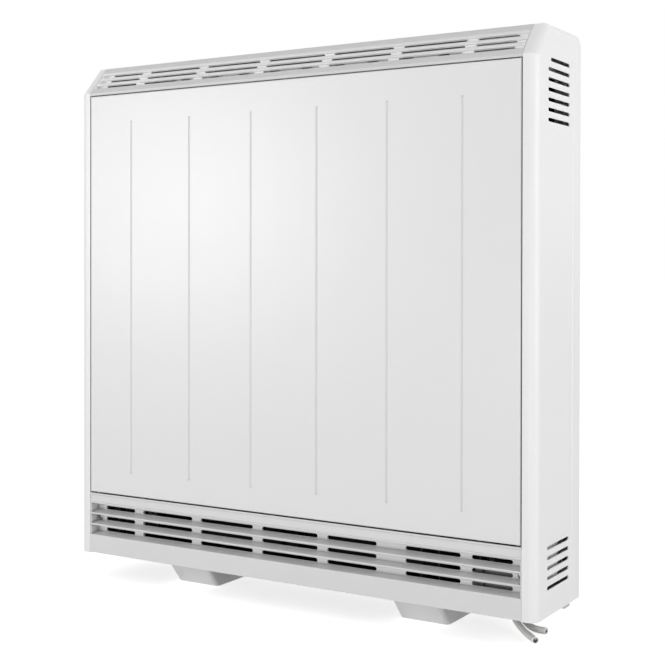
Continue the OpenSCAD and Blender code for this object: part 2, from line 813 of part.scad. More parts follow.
module damper_flap() {
  t = sheet_t;
  z0 = plate_top + 0.5;
  color(ZINC) in_case() {
    block(damper_x0, damper_x1, shaft_y, shaft_y + damper_l, z0, z0 + t);
    block(damper_x0, damper_x1, shaft_y + damper_l - t, shaft_y + damper_l, z0, z0 + 6);
    for (x = [damper_x0 + 8, (damper_x0 + damper_x1) / 2, damper_x1 - 14]) difference() {
      block(x, x + 6, shaft_y, shaft_y + shaft_r + 3, z0, shaft_z + shaft_r + 1);
      translate([x - 1, shaft_y, shaft_z]) rotate([0, 90, 0]) cylinder(r = shaft_r + run, h = 8);
    }
  }
}

module damper_arm() {
  color(ZINC) in_case() translate([knob_x1 - arm_w / 2, shaft_y, shaft_z]) difference() {
    along_x(0, arm_w) {
      circle(shaft_r + 3);
      translate([-arm_t / 2, 0]) square([arm_t, arm_h - arm_t / 2]);
      translate([0, arm_h - arm_t / 2]) circle(arm_t / 2);
    }
    translate([-1, 0, 0]) rotate([0, 90, 0]) cylinder(r = shaft_r + run, h = arm_w + 2);
  }
}

module damper_bearings() {
  color(ZINC) in_case()
    for (x = [damper_x0 - 8, damper_x1 + 5]) difference() {
      union() {
        along_x(x, x + bearing_t) {
          translate([shaft_y, shaft_z]) circle(shaft_r + 2);
          translate([shaft_y - shaft_r - 2, plate_top]) square([2 * shaft_r + 4, shaft_z - plate_top]);
        }
        block(x, x + bearing_t, shaft_y - 16, shaft_y + 16, plate_top, plate_top + 2);
      }
      translate([x - 1, shaft_y, shaft_z]) rotate([0, 90, 0]) cylinder(r = shaft_r + run, h = bearing_t + 2);
    }
}

// ---- Chassis ----

module base_plate() {
  x1 = end_x;
  y0 = grille_t + fit;
  y1 = back_in_y - fit;
  color(STEEL) in_case() difference() {
    union() {
      block(-x1, x1, post_y, y1, base_z, floor_z);
      block(end_wall_t + fit - x1, x1 - end_wall_t - fit, y0, post_y + 1, base_z, floor_z);
      block(end_wall_t + fit - x1, x1 - end_wall_t - fit, y0, y0 + sheet_t, base_z, 14);
      block(post_w - x1, x1 - post_w, y1 - sheet_t, y1, base_z, 20);
    }
    for (s = [-1, 1], y = foot_screw_y)
      translate([s * foot_x, y, 0]) cylinder(r = screw_hole, h = 10);
    block(outlet_x0 + 8, outlet_x0 + 22, outlet_y0 + 8, outlet_y0 + 24, 0, 10);
  }
}

module back_panel() {
  rib_r = 10;
  z1 = post_top + fit + sheet_t;
  color(STEEL) in_case() difference() {
    union() {
      block(-end_x, end_x, back_in_y, back_y, base_z, z1);
      block(-end_x, end_x, back_y - 12, back_y, z1 - sheet_t, z1);
    }
    block(wall_x - fit, wall_x + sheet_t + fit, back_y - 13, core_back + fit, z1 - 3, z1 + 1);
    for (s = [-1, 1])
      translate([s * wall_fix_x, back_y + 1, wall_fix_z]) rotate([90, 0, 0]) cylinder(r = wall_fix_r, h = 5);
    for (s = [-1, 1], z = back_screw_z)
      translate([s * back_screw_x, back_y + 1, z]) rotate([90, 0, 0]) cylinder(r = screw_hole, h = 5);
  }
}

wall_fix_x = inner_x - 75;
wall_fix_r = 4;
wall_fix_z = plate_top + 16;
back_screw_z = [60, post_top - 40];
back_screw_x = end_x - 7;
foot_screw_y = [foot_y + 18, foot_y + foot_l - 14];

module post() {
  difference() {
    union() {
      block(end_x - post_w, end_x, post_y, post_y + sheet_t, floor_z, post_top);
      block(end_x - sheet_t, end_x, post_y, back_in_y - fit, floor_z, post_top);
      block(end_x - post_w, end_x, back_in_y - fit - sheet_t, back_in_y - fit, floor_z, post_top);
    }
    translate([inner_x - screw_in, 0, grille_screw_z]) rotate([-90, 0, 0])
      cylinder(r = screw_hole, h = post_y + 5);
    for (z = back_screw_z)
      translate([back_screw_x, back_y, z]) rotate([90, 0, 0]) cylinder(r = screw_hole, h = 6);
    block(end_x - 5, end_x + 1, vent_y + 8, vent_y + vent_l, post_top - 76, post_top - 14);
  }
}

// The post at the terminals is also open behind the lower vents, and carries a tab
// that stiffens the side panel there
module right_post() {
  z0 = vent_low_z - 6;
  z1 = vent_low_z + vent_low_n * vent_pitch - 4;
  y0 = vent_y - 3;
  y1 = vent_y + vent_l + 4;
  tab_x = case_w / 2 - sheet_t - 2;
  tab_end = vent_y + 0.6 * vent_l;
  color(STEEL) in_case() {
    difference() {
      post();
      block(end_x - 5, end_x + 1, tab_end, y1, z0, z1);
      block(end_x - 5, end_x + 1, y0, y1, z0, vent_low_z + 6);
    }
    block(end_x - sheet_t / 2, tab_x, y0, y0 + sheet_t, vent_low_z + 7, z1);
    block(tab_x - sheet_t, tab_x, y0, tab_end, vent_low_z + 7, z1);
  }
}

module left_post() {
  color(STEEL) in_case() mirror([1, 0, 0]) post();
}

module grille_screws() {
  color(STEEL) in_case() for (s = [-1, 1])
    translate([s * (inner_x - screw_in), louvre_d, grille_screw_z]) rotate([90, 0, 0]) {
      screw_head();
      translate([0, 0, -8]) cylinder(r = screw_r, h = 8 + EPS);
    }
}

module back_screws() {
  color(STEEL) in_case() for (s = [-1, 1], z = back_screw_z)
    translate([s * back_screw_x, back_y, z]) rotate([-90, 0, 0]) {
      screw_head();
      translate([0, 0, -8]) cylinder(r = screw_r, h = 8 + EPS);
    }
}

module panel_clips() {
  w = 10;
  h = 26;
  color(ZINC) in_case()
    for (s = [-1, 1], z = [panel_low + 90, panel_high - 110])
      translate([s * (end_x - post_w + w / 2), 0, z]) {
        block(-w / 2, w / 2, post_y - sheet_t, post_y, 0, h);
        block(-w / 2, w / 2, sheet_t + fit, post_y, h - sheet_t, h);
        block(-w / 2, w / 2, sheet_t + fit, 2 * sheet_t + fit, h - 9, h);
      }
}

// Outer form of a foot between two heights above the floor, its walls inset by t
module foot_form(t, z0, z1) {
  top = foot_h + base_z;
  r = max(foot_r - t, 1);
  hull() for (z = [z0, z1], s = [-1, 1], back = [0, 1]) {
    k = z / top;
    x = s * (foot_w / 2 + foot_flare * k - t - r);
    y = back == 0 ? foot_y - foot_rake * k + t + r : foot_y + foot_l + 2 * k - t - r;
    translate([x, y, z - (z > z0 ? 1 : 0)]) cylinder(r = r, h = 1, $fn = 32);
  }
}

module foot(s) {
  top = foot_h + base_z;
  color(GREY) translate([s * foot_x, -case_d / 2, 0]) difference() {
    union() {
      difference() {
        foot_form(0, 0, top);
        foot_form(foot_wall, -1, top - foot_wall);
      }
      for (y = foot_screw_y) translate([0, y, 12]) cylinder(r = 6, h = top - 12 - EPS);
      for (y = foot_screw_y)
        block(-foot_w / 2 + 1, foot_w / 2 - 1, y - 1.2, y + 1.2, 12, top - foot_wall + EPS);
    }
    for (y = foot_screw_y) translate([0, y, 10]) cylinder(r = screw_r + run, h = foot_h);
  }
}

module left_foot() {
  foot(-1);
}

module right_foot() {
  foot(1);
}

module foot_screws() {
  color(STEEL) in_case() for (s = [-1, 1], y = foot_screw_y)
    translate([s * foot_x, y, floor_z]) {
      screw_head();
      translate([0, 0, -18]) cylinder(r = screw_r, h = 18 + EPS);
    }
}

// Ribbed pads under the rear corners that keep the heater off the wall
module wall_spacers() {
  top = -side_drop - fit;
  low = -13;
  x0 = inner_x - 5;
  x1 = inner_x + 6;
  y0 = case_d - 19;
  color(GREY) in_case() for (s = [0, 1]) mirror([s, 0, 0]) {
    block(x0 - 5, end_x - fit, y0, case_d - 4, top - 3, base_z);
    block(x0 + 1, x1 - 1, y0, case_d, low + 1, top);
    for (i = [0:3]) block(x0, x1, y0 + 1 + i * 4.6, y0 + 3.6 + i * 4.6, low, top);
  }
}

// ---- Inner casing, insulation, bricks and elements ----

module inner_front_plate() {
  x1 = wall_x - fit;
  y0 = inner_plate_y;
  y1 = y0 + sheet_t;
  side = (notch_n - 1) / 2;
  color(STEEL) in_case() difference() {
    union() {
      block(core_x, x1, y0, y1, floor_z + 76, top_plate_z);
      block(crest_left, crest_right, y0, y1, top_plate_z - 1, crest_z);
      for (x = [-2.5 * group_pitch - 3, bridge_x - 8]) block(x - 6, x + 6, y0, y1, floor_z, floor_z + 77);
    }
    for (i = [-side:side])
      translate([notch_x + i * notch_pitch - notch_w / 2, y0 - 1, crest_z - notch_d])
        cube([notch_w, sheet_t + 2, notch_d + 1]);
  }
}

module core_shelf() {
  x0 = core_x;
  x1 = wall_x - fit;
  color(ZINC) in_case() difference() {
    union() {
      block(x0, x1, rear_ins_y, core_back, shelf_z, shelf_z + sheet_t);
      for (x = [x0 + 20, (x0 + x1) / 2, x1 - 24])
        block(x, x + sheet_t, rear_ins_y, core_back, floor_z, shelf_z + sheet_t / 2);
    }
    for (y = [rear_ins_y + 12, rear_ins_y + 60])
      along_x(x0 - 1, x1 + 1) translate([y, floor_z + 14]) rounded_rect(32, 50, 4);
  }
}

module core_block(x0, x1, y0, y1, z0, z1) {
  color(BLANKET) in_case() block(x0, x1, y0, y1, z0, z1);
}

module base_insulation() {
  core_block(core_x, core_end, rear_ins_y, core_back, ins_z, ins_z + base_ins_t);
}

module front_insulation() {
  core_block(core_x, core_end, rear_ins_y, rear_ins_y + front_ins_t, brick_z, brick_top);
}

module back_insulation() {
  core_block(core_x, core_end, back_ins_y, core_back, brick_z, brick_top);
}

module left_insulation() {
  core_block(core_x, core_x + end_ins_t, brick_y, brick_back, brick_z, brick_top);
}

module element_legs(r, x0, x1) {
  for (row = [0:brick_rows - 1], s = [-1, 1])
    translate([x0, brick_mid, element_z(row) + s * element_turn]) rotate([0, 90, 0])
      cylinder(r = r, h = x1 - x0);
}

function element_z(row) = brick_z + (row + 0.5) * brick_h;

module right_insulation() {
  difference() {
    core_block(brick_end + fit, core_end, brick_y, brick_back, brick_z, brick_top);
    in_case() element_legs(element_r + fit, brick_end, core_end + 1);
  }
}

module air_slot(z0, z1) {
  in_case() block(damper_x0 + 6, damper_x1 - 6, shaft_y + 6, shaft_y + damper_l - 6, z0, z1);
}

module top_insulation() {
  difference() {
    core_block(core_x, core_end, rear_ins_y, core_back, top_ins_z, top_ins_z + top_ins_t);
    air_slot(top_ins_z - 1, top_plate_z);
  }
}

module core_top_plate() {
  color(ZINC) difference() {
    in_case() block(core_x, core_end, rear_ins_y, core_back, top_plate_z, plate_top);
    air_slot(top_plate_z - 1, plate_top + 1);
  }
}

// One row of storage bricks, two side by side in front and two behind
module brick_row(row) {
  z0 = brick_z + row * brick_h;
  color(BRICK) in_case() difference() {
    for (col = [0, 1], layer = [0, 1])
      translate([brick_x + col * (brick_l + fit), brick_y + layer * (brick_t + fit), z0])
        cube([brick_l, brick_t, brick_h]);
    block(brick_x - 1, brick_end + 1, brick_mid - channel_d, brick_mid + channel_d,
      element_z(row) - channel_h / 2, element_z(row) + channel_h / 2);
  }
}

module lower_bricks() {
  brick_row(0);
}

module middle_bricks() {
  brick_row(1);
}

module upper_bricks() {
  brick_row(2);
}

// A hairpin element with its ceramic ends in the control compartment
module element(row) {
  bend_x = brick_x + 20 + element_turn;
  end = wall_x + 22;
  color(STEEL) in_case() translate([0, brick_mid, element_z(row)]) {
    for (s = [-1, 1]) translate([bend_x, 0, s * element_turn]) rotate([0, 90, 0])
      cylinder(r = element_r, h = end - bend_x);
    translate([bend_x, 0, 0]) rotate([90, 0, 0]) rotate(90)
      rotate_extrude(angle = 180) translate([element_turn, 0]) circle(element_r);
    for (s = [-1, 1]) translate([wall_x + sheet_t + fit, 0, s * element_turn]) rotate([0, 90, 0]) {
      cylinder(r = bush_r, h = 8);
      cylinder(r = 1.8, h = 30);
    }
  }
}

module lower_element() {
  element(0);
}

module middle_element() {
  element(1);
}

module upper_element() {
  element(2);
}

module compartment_wall() {
  x1 = wall_x + sheet_t;
  color(ZINC) in_case() difference() {
    union() {
      block(wall_x, x1, rear_ins_y, core_back, floor_z, crest_z);
      block(wall_x, wall_x + 12, rear_ins_y, rear_ins_y + sheet_t, floor_z + 77, crest_z);
      block(wall_x, wall_x + 12, core_back - sheet_t, core_back, floor_z, post_top - 14);
    }
    element_legs(element_r + fit, wall_x - 1, x1 + 1);
    translate([wall_x - 1, shaft_y, shaft_z]) rotate([0, 90, 0]) cylinder(r = shaft_r + 2, h = sheet_t + 2);
  }
}

// ---- Wiring ----

// Sweeps a round tube of radius r along a list of points
function unit(v) = v / norm(v);
function run_z(share) = tray_z + share * (stat_z - tray_z);
function side_of(d) = unit(cross(d, abs(d[2]) > 0.9 ? [0, 1, 0] : [0, 0, 1]));
function heading(p, i) = unit(p[min(i + 1, len(p) - 1)] - p[max(i - 1, 0)]);

module tube(p, r, sides) {
  n = len(p);
  rings = [for (i = [0:n - 1], k = [0:sides - 1])
    let (d = heading(p, i), u = side_of(d), v = cross(d, u), a = 360 * k / sides)
    p[i] + r * (cos(a) * u + sin(a) * v)];
  walls = [for (i = [0:n - 2], k = [0:sides - 1], half = [0, 1])
    let (a = i * sides + k, b = i * sides + (k + 1) % sides)
    half == 0 ? [a, a + sides, b] : [b, a + sides, b + sides]];
  start = [for (k = [0:sides - 1]) k];
  finish = [for (k = [sides - 1:-1:0]) (n - 1) * sides + k];
  polyhedron(rings, concat([start], walls, [finish]));
}

// Points of a smooth curve through the given points, with the given steps a span
function spline_point(p, i, t) =
  let (a = p[max(i - 1, 0)], b = p[i], c = p[i + 1], d = p[min(i + 2, len(p) - 1)])
  0.5 * (2 * b + (c - a) * t + (2 * a - 5 * b + 4 * c - d) * t * t
    + (3 * b - a - 3 * c + d) * t * t * t);
function spline(p, steps) = concat(
  [for (i = [0:len(p) - 2], k = [0:steps - 1]) spline_point(p, i, k / steps)], [p[len(p) - 1]]);

stud_x = wall_x + 28.1;
stud_y = 58;
bulb_x = wall_x + sheet_t + 7;
bulb_y = 104;
bulb_z = element_z(1) + element_turn + 30.7;
bulb_r = 3.2;
cutout_y = 52;
cutout_z = bulb_z + 25;

module capillary_bulb() {
  route = [[knob_x0, knob_y, stat_z - stat_h - 0.3], [knob_x0, knob_y + 2, stat_z - 62],
    [knob_x0 - 8, knob_y + 8, stat_z - 84], [bulb_x + 8, bulb_y - 3, bulb_z + 110],
    [bulb_x + 1, bulb_y, bulb_z + 88], [bulb_x, bulb_y, bulb_z + 72]];
  color("orange") in_case() {
    tube(spline(route, 3), 1, 8);
    translate([bulb_x, bulb_y, bulb_z]) cylinder(r = bulb_r, h = 72 + EPS);
    for (z = [bulb_z + 8, bulb_z + 56])
      block(bulb_x - 7, bulb_x, bulb_y - 3, bulb_y + 3, z, z + 8);
  }
}

module thermal_cutout() {
  color(BRICK) in_case() translate([wall_x + sheet_t, cutout_y, cutout_z]) rotate([0, 90, 0]) {
    translate([0, 0, 0]) cylinder(r = 11, h = 3);
    cylinder(r = 8.5, h = 12);
    for (x = [-5, 5]) translate([x - 0.5, -3, 11]) cube([1, 6, 9]);
    block(-1.5, 1.5, -18, 18, 0, 1);
  }
}

module terminal_tray() {
  y0 = 28;
  y1 = 92;
  color(ZINC) in_case() {
    block(tray_x0, tray_x1, y0, y1, tray_z, tray_z + sheet_t);
    for (x = [tray_x0, tray_x1 - sheet_t]) block(x, x + sheet_t, y0, y1, floor_z, tray_z + sheet_t / 2);
  }
}

module terminal_block() {
  x0 = tray_x0 + 1;
  w = 13;
  y0 = 30;
  z0 = tray_z + sheet_t;
  color(WHITE) in_case() difference() {
    union() {
      block(x0, x0 + w, y0, y0 + 44, z0, z0 + 20);
      for (i = [0:3]) block(x0 + 2, x0 + w - 2, y0 + 1.5 + i * 11, y0 + 9.5 + i * 11, z0 + 19, z0 + 27);
    }
    for (i = [0:3]) translate([x0 + w / 2, y0 + 5.5 + i * 11, z0 + 16]) cylinder(r = 2.4, h = 20);
  }
}

module junction_box() {
  x0 = tray_x0 + 16.5;
  y0 = 29;
  z0 = tray_z + sheet_t;
  color(GREY) in_case() {
    block(x0, x0 + 38, y0, y0 + 56, z0, z0 + 26);
    block(x0 + 2, x0 + 36, y0 + 2, y0 + 54, z0 + 26 - EPS, z0 + 31);
    for (y = [y0 + 10, y0 + 46]) translate([x0 + 19, y, z0 + 31 - EPS]) cylinder(r = 3, h = 1.4);
  }
}

module earth_stud() {
  color("goldenrod") in_case() translate([stud_x, stud_y, floor_z]) {
    cylinder(r = 2.5, h = 18);
    for (z = [0, 8]) translate([0, 0, z]) cylinder(r = 4.6, h = 4, $fn = 6);
    translate([-2.5, -12, 4]) cube([5, 12, 1.2]);
  }
}

module live_wire() {
  z0 = tray_z + sheet_t + 16.3;
  x0 = tray_x0 + 7.5;
  route = [[x0, 35.5, z0], [x0, 35.5, z0 + 30], [x0 - 3, 40, run_z(0.157)], [x0 - 5, 46, run_z(0.313)],
    [x0 - 3, 60, run_z(0.486)], [x0, knob_y - 4, run_z(0.658)], [knob_x0 + 8, knob_y - 8, stat_z - 80],
    [knob_x0 + 8, knob_y - 8, stat_z - stat_h - 0.4]];
  color("brown") in_case() tube(spline(route, 3), 1.4, 8);
}

module earth_wire() {
  z0 = tray_z + sheet_t + 13;
  route = [[tray_x0 + 0.4, 36, z0], [tray_x0 - 4, 35, z0 - 2], [tray_x0 - 9, 38, z0 - 7],
    [stud_x + 1, 46, z0 - 16], [stud_x, stud_y - 9, floor_z + 6]];
  color(WHITE) in_case() tube(spline(route, 3), 1.5, 8);
}

module neutral_wire() {
  z0 = tray_z + sheet_t + 16.3;
  x0 = tray_x0 + 7.5;
  end = [wall_x + sheet_t + fit + 31, brick_mid, element_z(0) - element_turn];
  route = [[x0, 57.5, z0], [x0, 57.5, z0 + 30], [x0 + 2, 66, tray_z + 80], [x0 - 2, brick_mid - 2, element_z(0) - 60],
    [end[0] + 14, brick_mid, element_z(0) - element_turn - 8], end];
  color("royalblue") in_case() tube(spline(route, 3), 1.4, 8);
}

// ---- Cable outlet and the two cut cable ends ----

outlet_x0 = inner_x - 89;
outlet_y0 = 103;

// A tapered, ringed snout that ends at the mouth and points along the cable
module snout(route) {
  d = unit(route[1] - route[0]);
  pitch = acos(d[2]);
  turn = atan2(d[1], d[0]);
  translate(route[0] - 0.3 * d) rotate([0, pitch, turn]) translate([0, 0, -snout_l]) {
    cylinder(r1 = cable_r + 3.4, r2 = cable_r + 1.4, h = snout_l);
    for (z = [10, 14, 18]) translate([0, 0, z]) cylinder(r = cable_r + 2.8, h = 1.8);
  }
}

module cable_outlet() {
  color(GREY) in_case() difference() {
    union() {
      block(outlet_x0, outlet_x0 + 26, outlet_y0, back_in_y - 1, base_z - 14, base_z);
      snout(SUPPLY_ROUTE);
      snout(CONTROL_ROUTE);
    }
    block(outlet_x0 - 20, outlet_x0 + 60, outlet_y0 - 20, case_d, base_z, base_z + 30);
  }
}

module supply_cable() {
  color(WHITE) in_case() tube(spline(SUPPLY_ROUTE, 2), cable_r, 12);
}

module control_cable() {
  color(WHITE) in_case() tube(spline(CONTROL_ROUTE, 2), cable_r, 12);
}

base_plate();
back_panel();
left_side_panel();
right_side_panel();
front_panel();
lower_grille();
top_grille();
top_cover();
left_post();
right_post();
left_foot();
right_foot();
foot_screws();
grille_screws();
back_screws();
wall_spacers();
panel_clips();
inner_front_plate();
core_shelf();
base_insulation();
front_insulation();
back_insulation();
left_insulation();
right_insulation();
top_insulation();
core_top_plate();
lower_bricks();
middle_bricks();
upper_bricks();
lower_element();
middle_element();
upper_element();
compartment_wall();
control_housing();
control_screws();
spindle_bracket();
flap_pins();
control_flap();
input_knob();
input_spindle();
output_knob();
output_spindle();
output_cam();
damper_flap();
damper_shaft();
damper_arm();
damper_bearings();
charge_thermostat();
capillary_bulb();
thermal_cutout();
terminal_tray();
terminal_block();
junction_box();
earth_stud();
live_wire();
neutral_wire();
earth_wire();
cable_outlet();
supply_cable();
control_cable();
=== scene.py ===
"""A slim storage heater in a plain studio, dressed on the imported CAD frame.

The frame gives every rigid shape. This script adds the finishes, the two cable
tails with their cut ends, the dials' printed scales, the spot welds, the
terminal screws and the porcelain beads, then sets the lamps, floor and camera.
The sub-assemblies' own sizes are millimetres and degrees. Blender gets metres
in the frame's axes: +X right, -Y front, +Z up.
"""
import logging
import math
from dataclasses import dataclass, field, replace
from enum import Enum
from functools import cached_property
from typing import Any, Callable, Sequence

import bmesh
import bpy
from mathutils import Euler, Matrix, Vector


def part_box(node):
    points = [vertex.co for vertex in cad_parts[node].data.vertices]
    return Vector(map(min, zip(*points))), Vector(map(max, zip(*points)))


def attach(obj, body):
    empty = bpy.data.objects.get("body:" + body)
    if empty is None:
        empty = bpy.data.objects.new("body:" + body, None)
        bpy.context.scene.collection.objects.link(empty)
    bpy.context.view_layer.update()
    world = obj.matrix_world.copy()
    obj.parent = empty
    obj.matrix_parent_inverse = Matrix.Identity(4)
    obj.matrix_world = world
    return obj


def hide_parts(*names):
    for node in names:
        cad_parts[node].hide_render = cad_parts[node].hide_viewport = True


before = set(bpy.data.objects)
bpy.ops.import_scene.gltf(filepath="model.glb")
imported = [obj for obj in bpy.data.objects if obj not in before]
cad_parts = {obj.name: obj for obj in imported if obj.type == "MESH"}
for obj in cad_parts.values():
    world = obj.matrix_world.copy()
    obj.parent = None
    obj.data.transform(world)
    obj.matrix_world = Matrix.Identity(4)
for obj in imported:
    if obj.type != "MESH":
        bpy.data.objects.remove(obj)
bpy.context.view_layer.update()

MM = 0.001
SAME_PLACE = 1e-7
CASE_DEPTH = 137 * MM
FOOT_HEIGHT = 35 * MM
BACKWARDS = Vector((0.0, 1.0, 0.0))
RIGHTWARDS = Vector((1.0, 0.0, 0.0))
UPWARDS = Vector((0.0, 0.0, 1.0))

log = logging.getLogger("storage_heater")

Colour = tuple[float, float, float]
Rgba = tuple[float, float, float, float]
Point = tuple[float, float, float]
BMesh = bmesh.types.BMesh
BMVert = bmesh.types.BMVert
Object = bpy.types.Object
Tree = bpy.types.NodeTree
Node = bpy.types.Node
Socket = bpy.types.NodeSocket
Pattern = tuple[Any, Socket, Socket]


class Body(Enum):
    """The frame's bodies that carry the pieces made here."""

    CASING = "casing"
    INPUT_DIAL = "input_dial"
    OUTPUT_DIAL = "output_dial"


def in_case(point: Sequence[float]) -> Vector:
    """Turns a point of the casing frame into the row frame.

    Args:
        point: millimetres along the front, behind the front plane and above the
            casing's lower edge.

    Returns:
        The same point in metres, in the row frame.
    """
    x, y, z = point
    return Vector((x * MM, y * MM - CASE_DEPTH / 2, z * MM + FOOT_HEIGHT))


def grey(level: float) -> Colour:
    """A neutral colour of one level."""
    return (level, level, level)


def rgba(colour: Colour, share: float = 1.0) -> Rgba:
    """A colour with full alpha, made darker or paler by a share."""
    return (*(min(1.0, level * share) for level in colour), 1.0)


# ---- Node trees ----


class Graph:
    """A node tree with short calls that add nodes and join their sockets."""

    def __init__(self, tree: Tree) -> None:
        """Keeps the tree that the nodes go into."""
        self.tree = tree

    @cached_property
    def coords(self) -> Socket:
        """Object coordinates."""
        return self.add("ShaderNodeTexCoord").outputs["Object"]

    def add(self, kind: str, inputs: dict[Any, Any] | None = None, **settings: Any) -> Node:
        """Adds a node.

        Args:
            kind: the node's type name.
            inputs: socket name or number to a value, or to a socket to join.
            settings: the node's own properties.

        Returns:
            The new node.
        """
        node = self.tree.nodes.new(kind)
        for name, value in settings.items():
            setattr(node, name, value)
        for name, value in (inputs or {}).items():
            if isinstance(value, Socket):
                self.tree.links.new(value, node.inputs[name])
            else:
                node.inputs[name].default_value = value
        return node

    def math(self, operation: str, *values: Any) -> Socket:
        """Adds a Math node and gives its result."""
        return self.add("ShaderNodeMath", dict(enumerate(values)), operation=operation).outputs[0]

    def mix(self, factor: Any, first: Any, second: Any) -> Socket:
        """Mixes two colours.

        Args:
            factor: 0 gives the first colour, 1 the second.
            first: a colour or a socket.
            second: a colour or a socket.

        Returns:
            The mixed colour.
        """
        node = self.add("ShaderNodeMix", {0: factor, 6: first, 7: second}, data_type="RGBA")
        return node.outputs[2]

    def remap(
        self, value: Socket, start: float, end: float, low: float = 0.0, high: float = 1.0
    ) -> Socket:
        """Maps one range evenly onto another, and goes no further than its ends.

        Args:
            value: the value to map.
            start: the value that gives low.
            end: the value that gives high.
            low: the result at the start.
            high: the result at the end.

        Returns:
            The mapped value.
        """
        ends = {"From Min": start, "From Max": end, "To Min": low, "To Max": high}
        return self.add("ShaderNodeMapRange", {"Value": value, **ends}).outputs[0]

    def noise(self, vector: Socket, scale: Any, detail: float) -> Socket:
        """Adds a noise.

        Args:
            vector: the place that it is read at.
            scale: its swells in a metre, a number or a socket.
            detail: how many finer layers it has.

        Returns:
            Its value, 0 to 1.
        """
        inputs = {"Vector": vector, "Scale": scale, "Detail": detail}
        return self.add("ShaderNodeTexNoise", inputs).outputs[0]

    def effect(self, group: Tree, **inputs: Any) -> Any:
        """Places a shared effect and gives its outputs."""
        return self.add("ShaderNodeGroup", inputs, node_tree=group).outputs


def empty_graph(owner: bpy.types.Material | bpy.types.World) -> Graph:
    """Clears the node tree of a material or a world.

    Args:
        owner: the material or world.

    Returns:
        Its empty tree.
    """
    owner.use_nodes = True
    owner.node_tree.nodes.clear()
    return Graph(owner.node_tree)


def new_group(
    name: str, kind: str, inputs: dict[str, str], outputs: dict[str, str]
) -> tuple[Graph, Any]:
    """Starts a node group.

    Args:
        name: the group's name.
        kind: its tree's type.
        inputs: the socket kind of each input.
        outputs: the socket kind of each output.

    Returns:
        The group's graph and the sockets that bring its inputs.
    """
    tree = bpy.data.node_groups.new(name, kind)
    for way, sockets in (("INPUT", inputs), ("OUTPUT", outputs)):
        for label, socket in sockets.items():
            tree.interface.new_socket(label, in_out=way, socket_type="NodeSocket" + socket)
    graph = Graph(tree)
    return graph, graph.add("NodeGroupInput").outputs


@dataclass
class EffectGroups:
    """The shader effects that several finishes share, each built once."""

    drift: tuple[float, float] = (0.38, 0.72)
    drift_share: float = 0.75
    flecks: tuple[float, float] = (0.6, 0.8)
    fleck_share: float = 0.35
    fleck_ratio: float = 23.0
    swell_share: float = 0.3
    swell_ratio: float = 0.11
    open_view: float = 0.96
    closed_view: float = 0.6
    view_rays: int = 12

    @cached_property
    def soil(self) -> Tree:
        """Soils a colour in broad drifts and small flecks.

        Returns:
            A group with the outputs Colour and Mask.
        """
        graph, given = new_group(
            "soft_soil",
            "ShaderNodeTree",
            {
                "Vector": "Vector", "Colour": "Color", "Soil": "Color", "Scale": "Float",
                "Amount": "Float",
            },
            {"Colour": "Color", "Mask": "Float"},
        )
        broad = graph.noise(given["Vector"], given["Scale"], detail=4.0)
        fine_scale = graph.math("MULTIPLY", given["Scale"], self.fleck_ratio)
        fine = graph.noise(given["Vector"], fine_scale, detail=3.0)
        drifts = graph.remap(broad, *self.drift, 0.0, self.drift_share)
        flecks = graph.remap(fine, *self.flecks, 0.0, self.fleck_share)
        both = graph.math("MINIMUM", graph.math("ADD", drifts, flecks), 1.0)
        mask = graph.math("MULTIPLY", both, given["Amount"])
        colour = graph.mix(mask, given["Colour"], given["Soil"])
        graph.add("NodeGroupOutput", {"Colour": colour, "Mask": mask})
        return graph.tree

    @cached_property
    def grain(self) -> Tree:
        """Makes a fine grain with a slower swell, as on enamel and moulded plastic.

        Returns:
            A group with the output Height, from 0 to 1.
        """
        graph, given = new_group(
            "fine_grain", "ShaderNodeTree", {"Vector": "Vector", "Scale": "Float"},
            {"Height": "Float"},
        )
        fine = graph.noise(given["Vector"], given["Scale"], detail=2.0)
        swell_scale = graph.math("MULTIPLY", given["Scale"], self.swell_ratio)
        swell = graph.noise(given["Vector"], swell_scale, detail=1.0)
        fine_part = graph.math("MULTIPLY", fine, 1.0 - self.swell_share)
        swell_part = graph.math("MULTIPLY", swell, self.swell_share)
        graph.add("NodeGroupOutput", {"Height": graph.math("ADD", fine_part, swell_part)})
        return graph.tree

    @cached_property
    def brushing(self) -> Tree:
        """Makes fine straight lines along one axis.

        Returns:
            A group with the output Lines, from 0 to 1.
        """
        graph, given = new_group(
            "fine_brushing", "ShaderNodeTree", {"Vector": "Vector", "Stretch": "Vector"},
            {"Lines": "Float"},
        )
        stretched = graph.add(
            "ShaderNodeMapping", {"Vector": given["Vector"], "Scale": given["Stretch"]}
        ).outputs[0]
        lines = graph.noise(stretched, 1.0, detail=4.0)
        graph.add("NodeGroupOutput", {"Lines": lines})
        return graph.tree

    @cached_property
    def painted_shading_mask(self) -> Tree:
        """Finds seams, grooves and inner corners, where finishes lay their painted shading.

        Returns:
            A group with the output Mask, 1 where little of the room is in view.
        """
        graph, given = new_group(
            "painted_recess_shade", "ShaderNodeTree", {"Reach": "Float"}, {"Mask": "Float"}
        )
        view = graph.add(
            "ShaderNodeAmbientOcclusion", {"Distance": given["Reach"]}, samples=self.view_rays
        ).outputs["AO"]
        mask = graph.remap(view, self.open_view, self.closed_view)
        graph.add("NodeGroupOutput", {"Mask": mask})
        return graph.tree


EFFECTS = EffectGroups()


# ---- Finishes ----


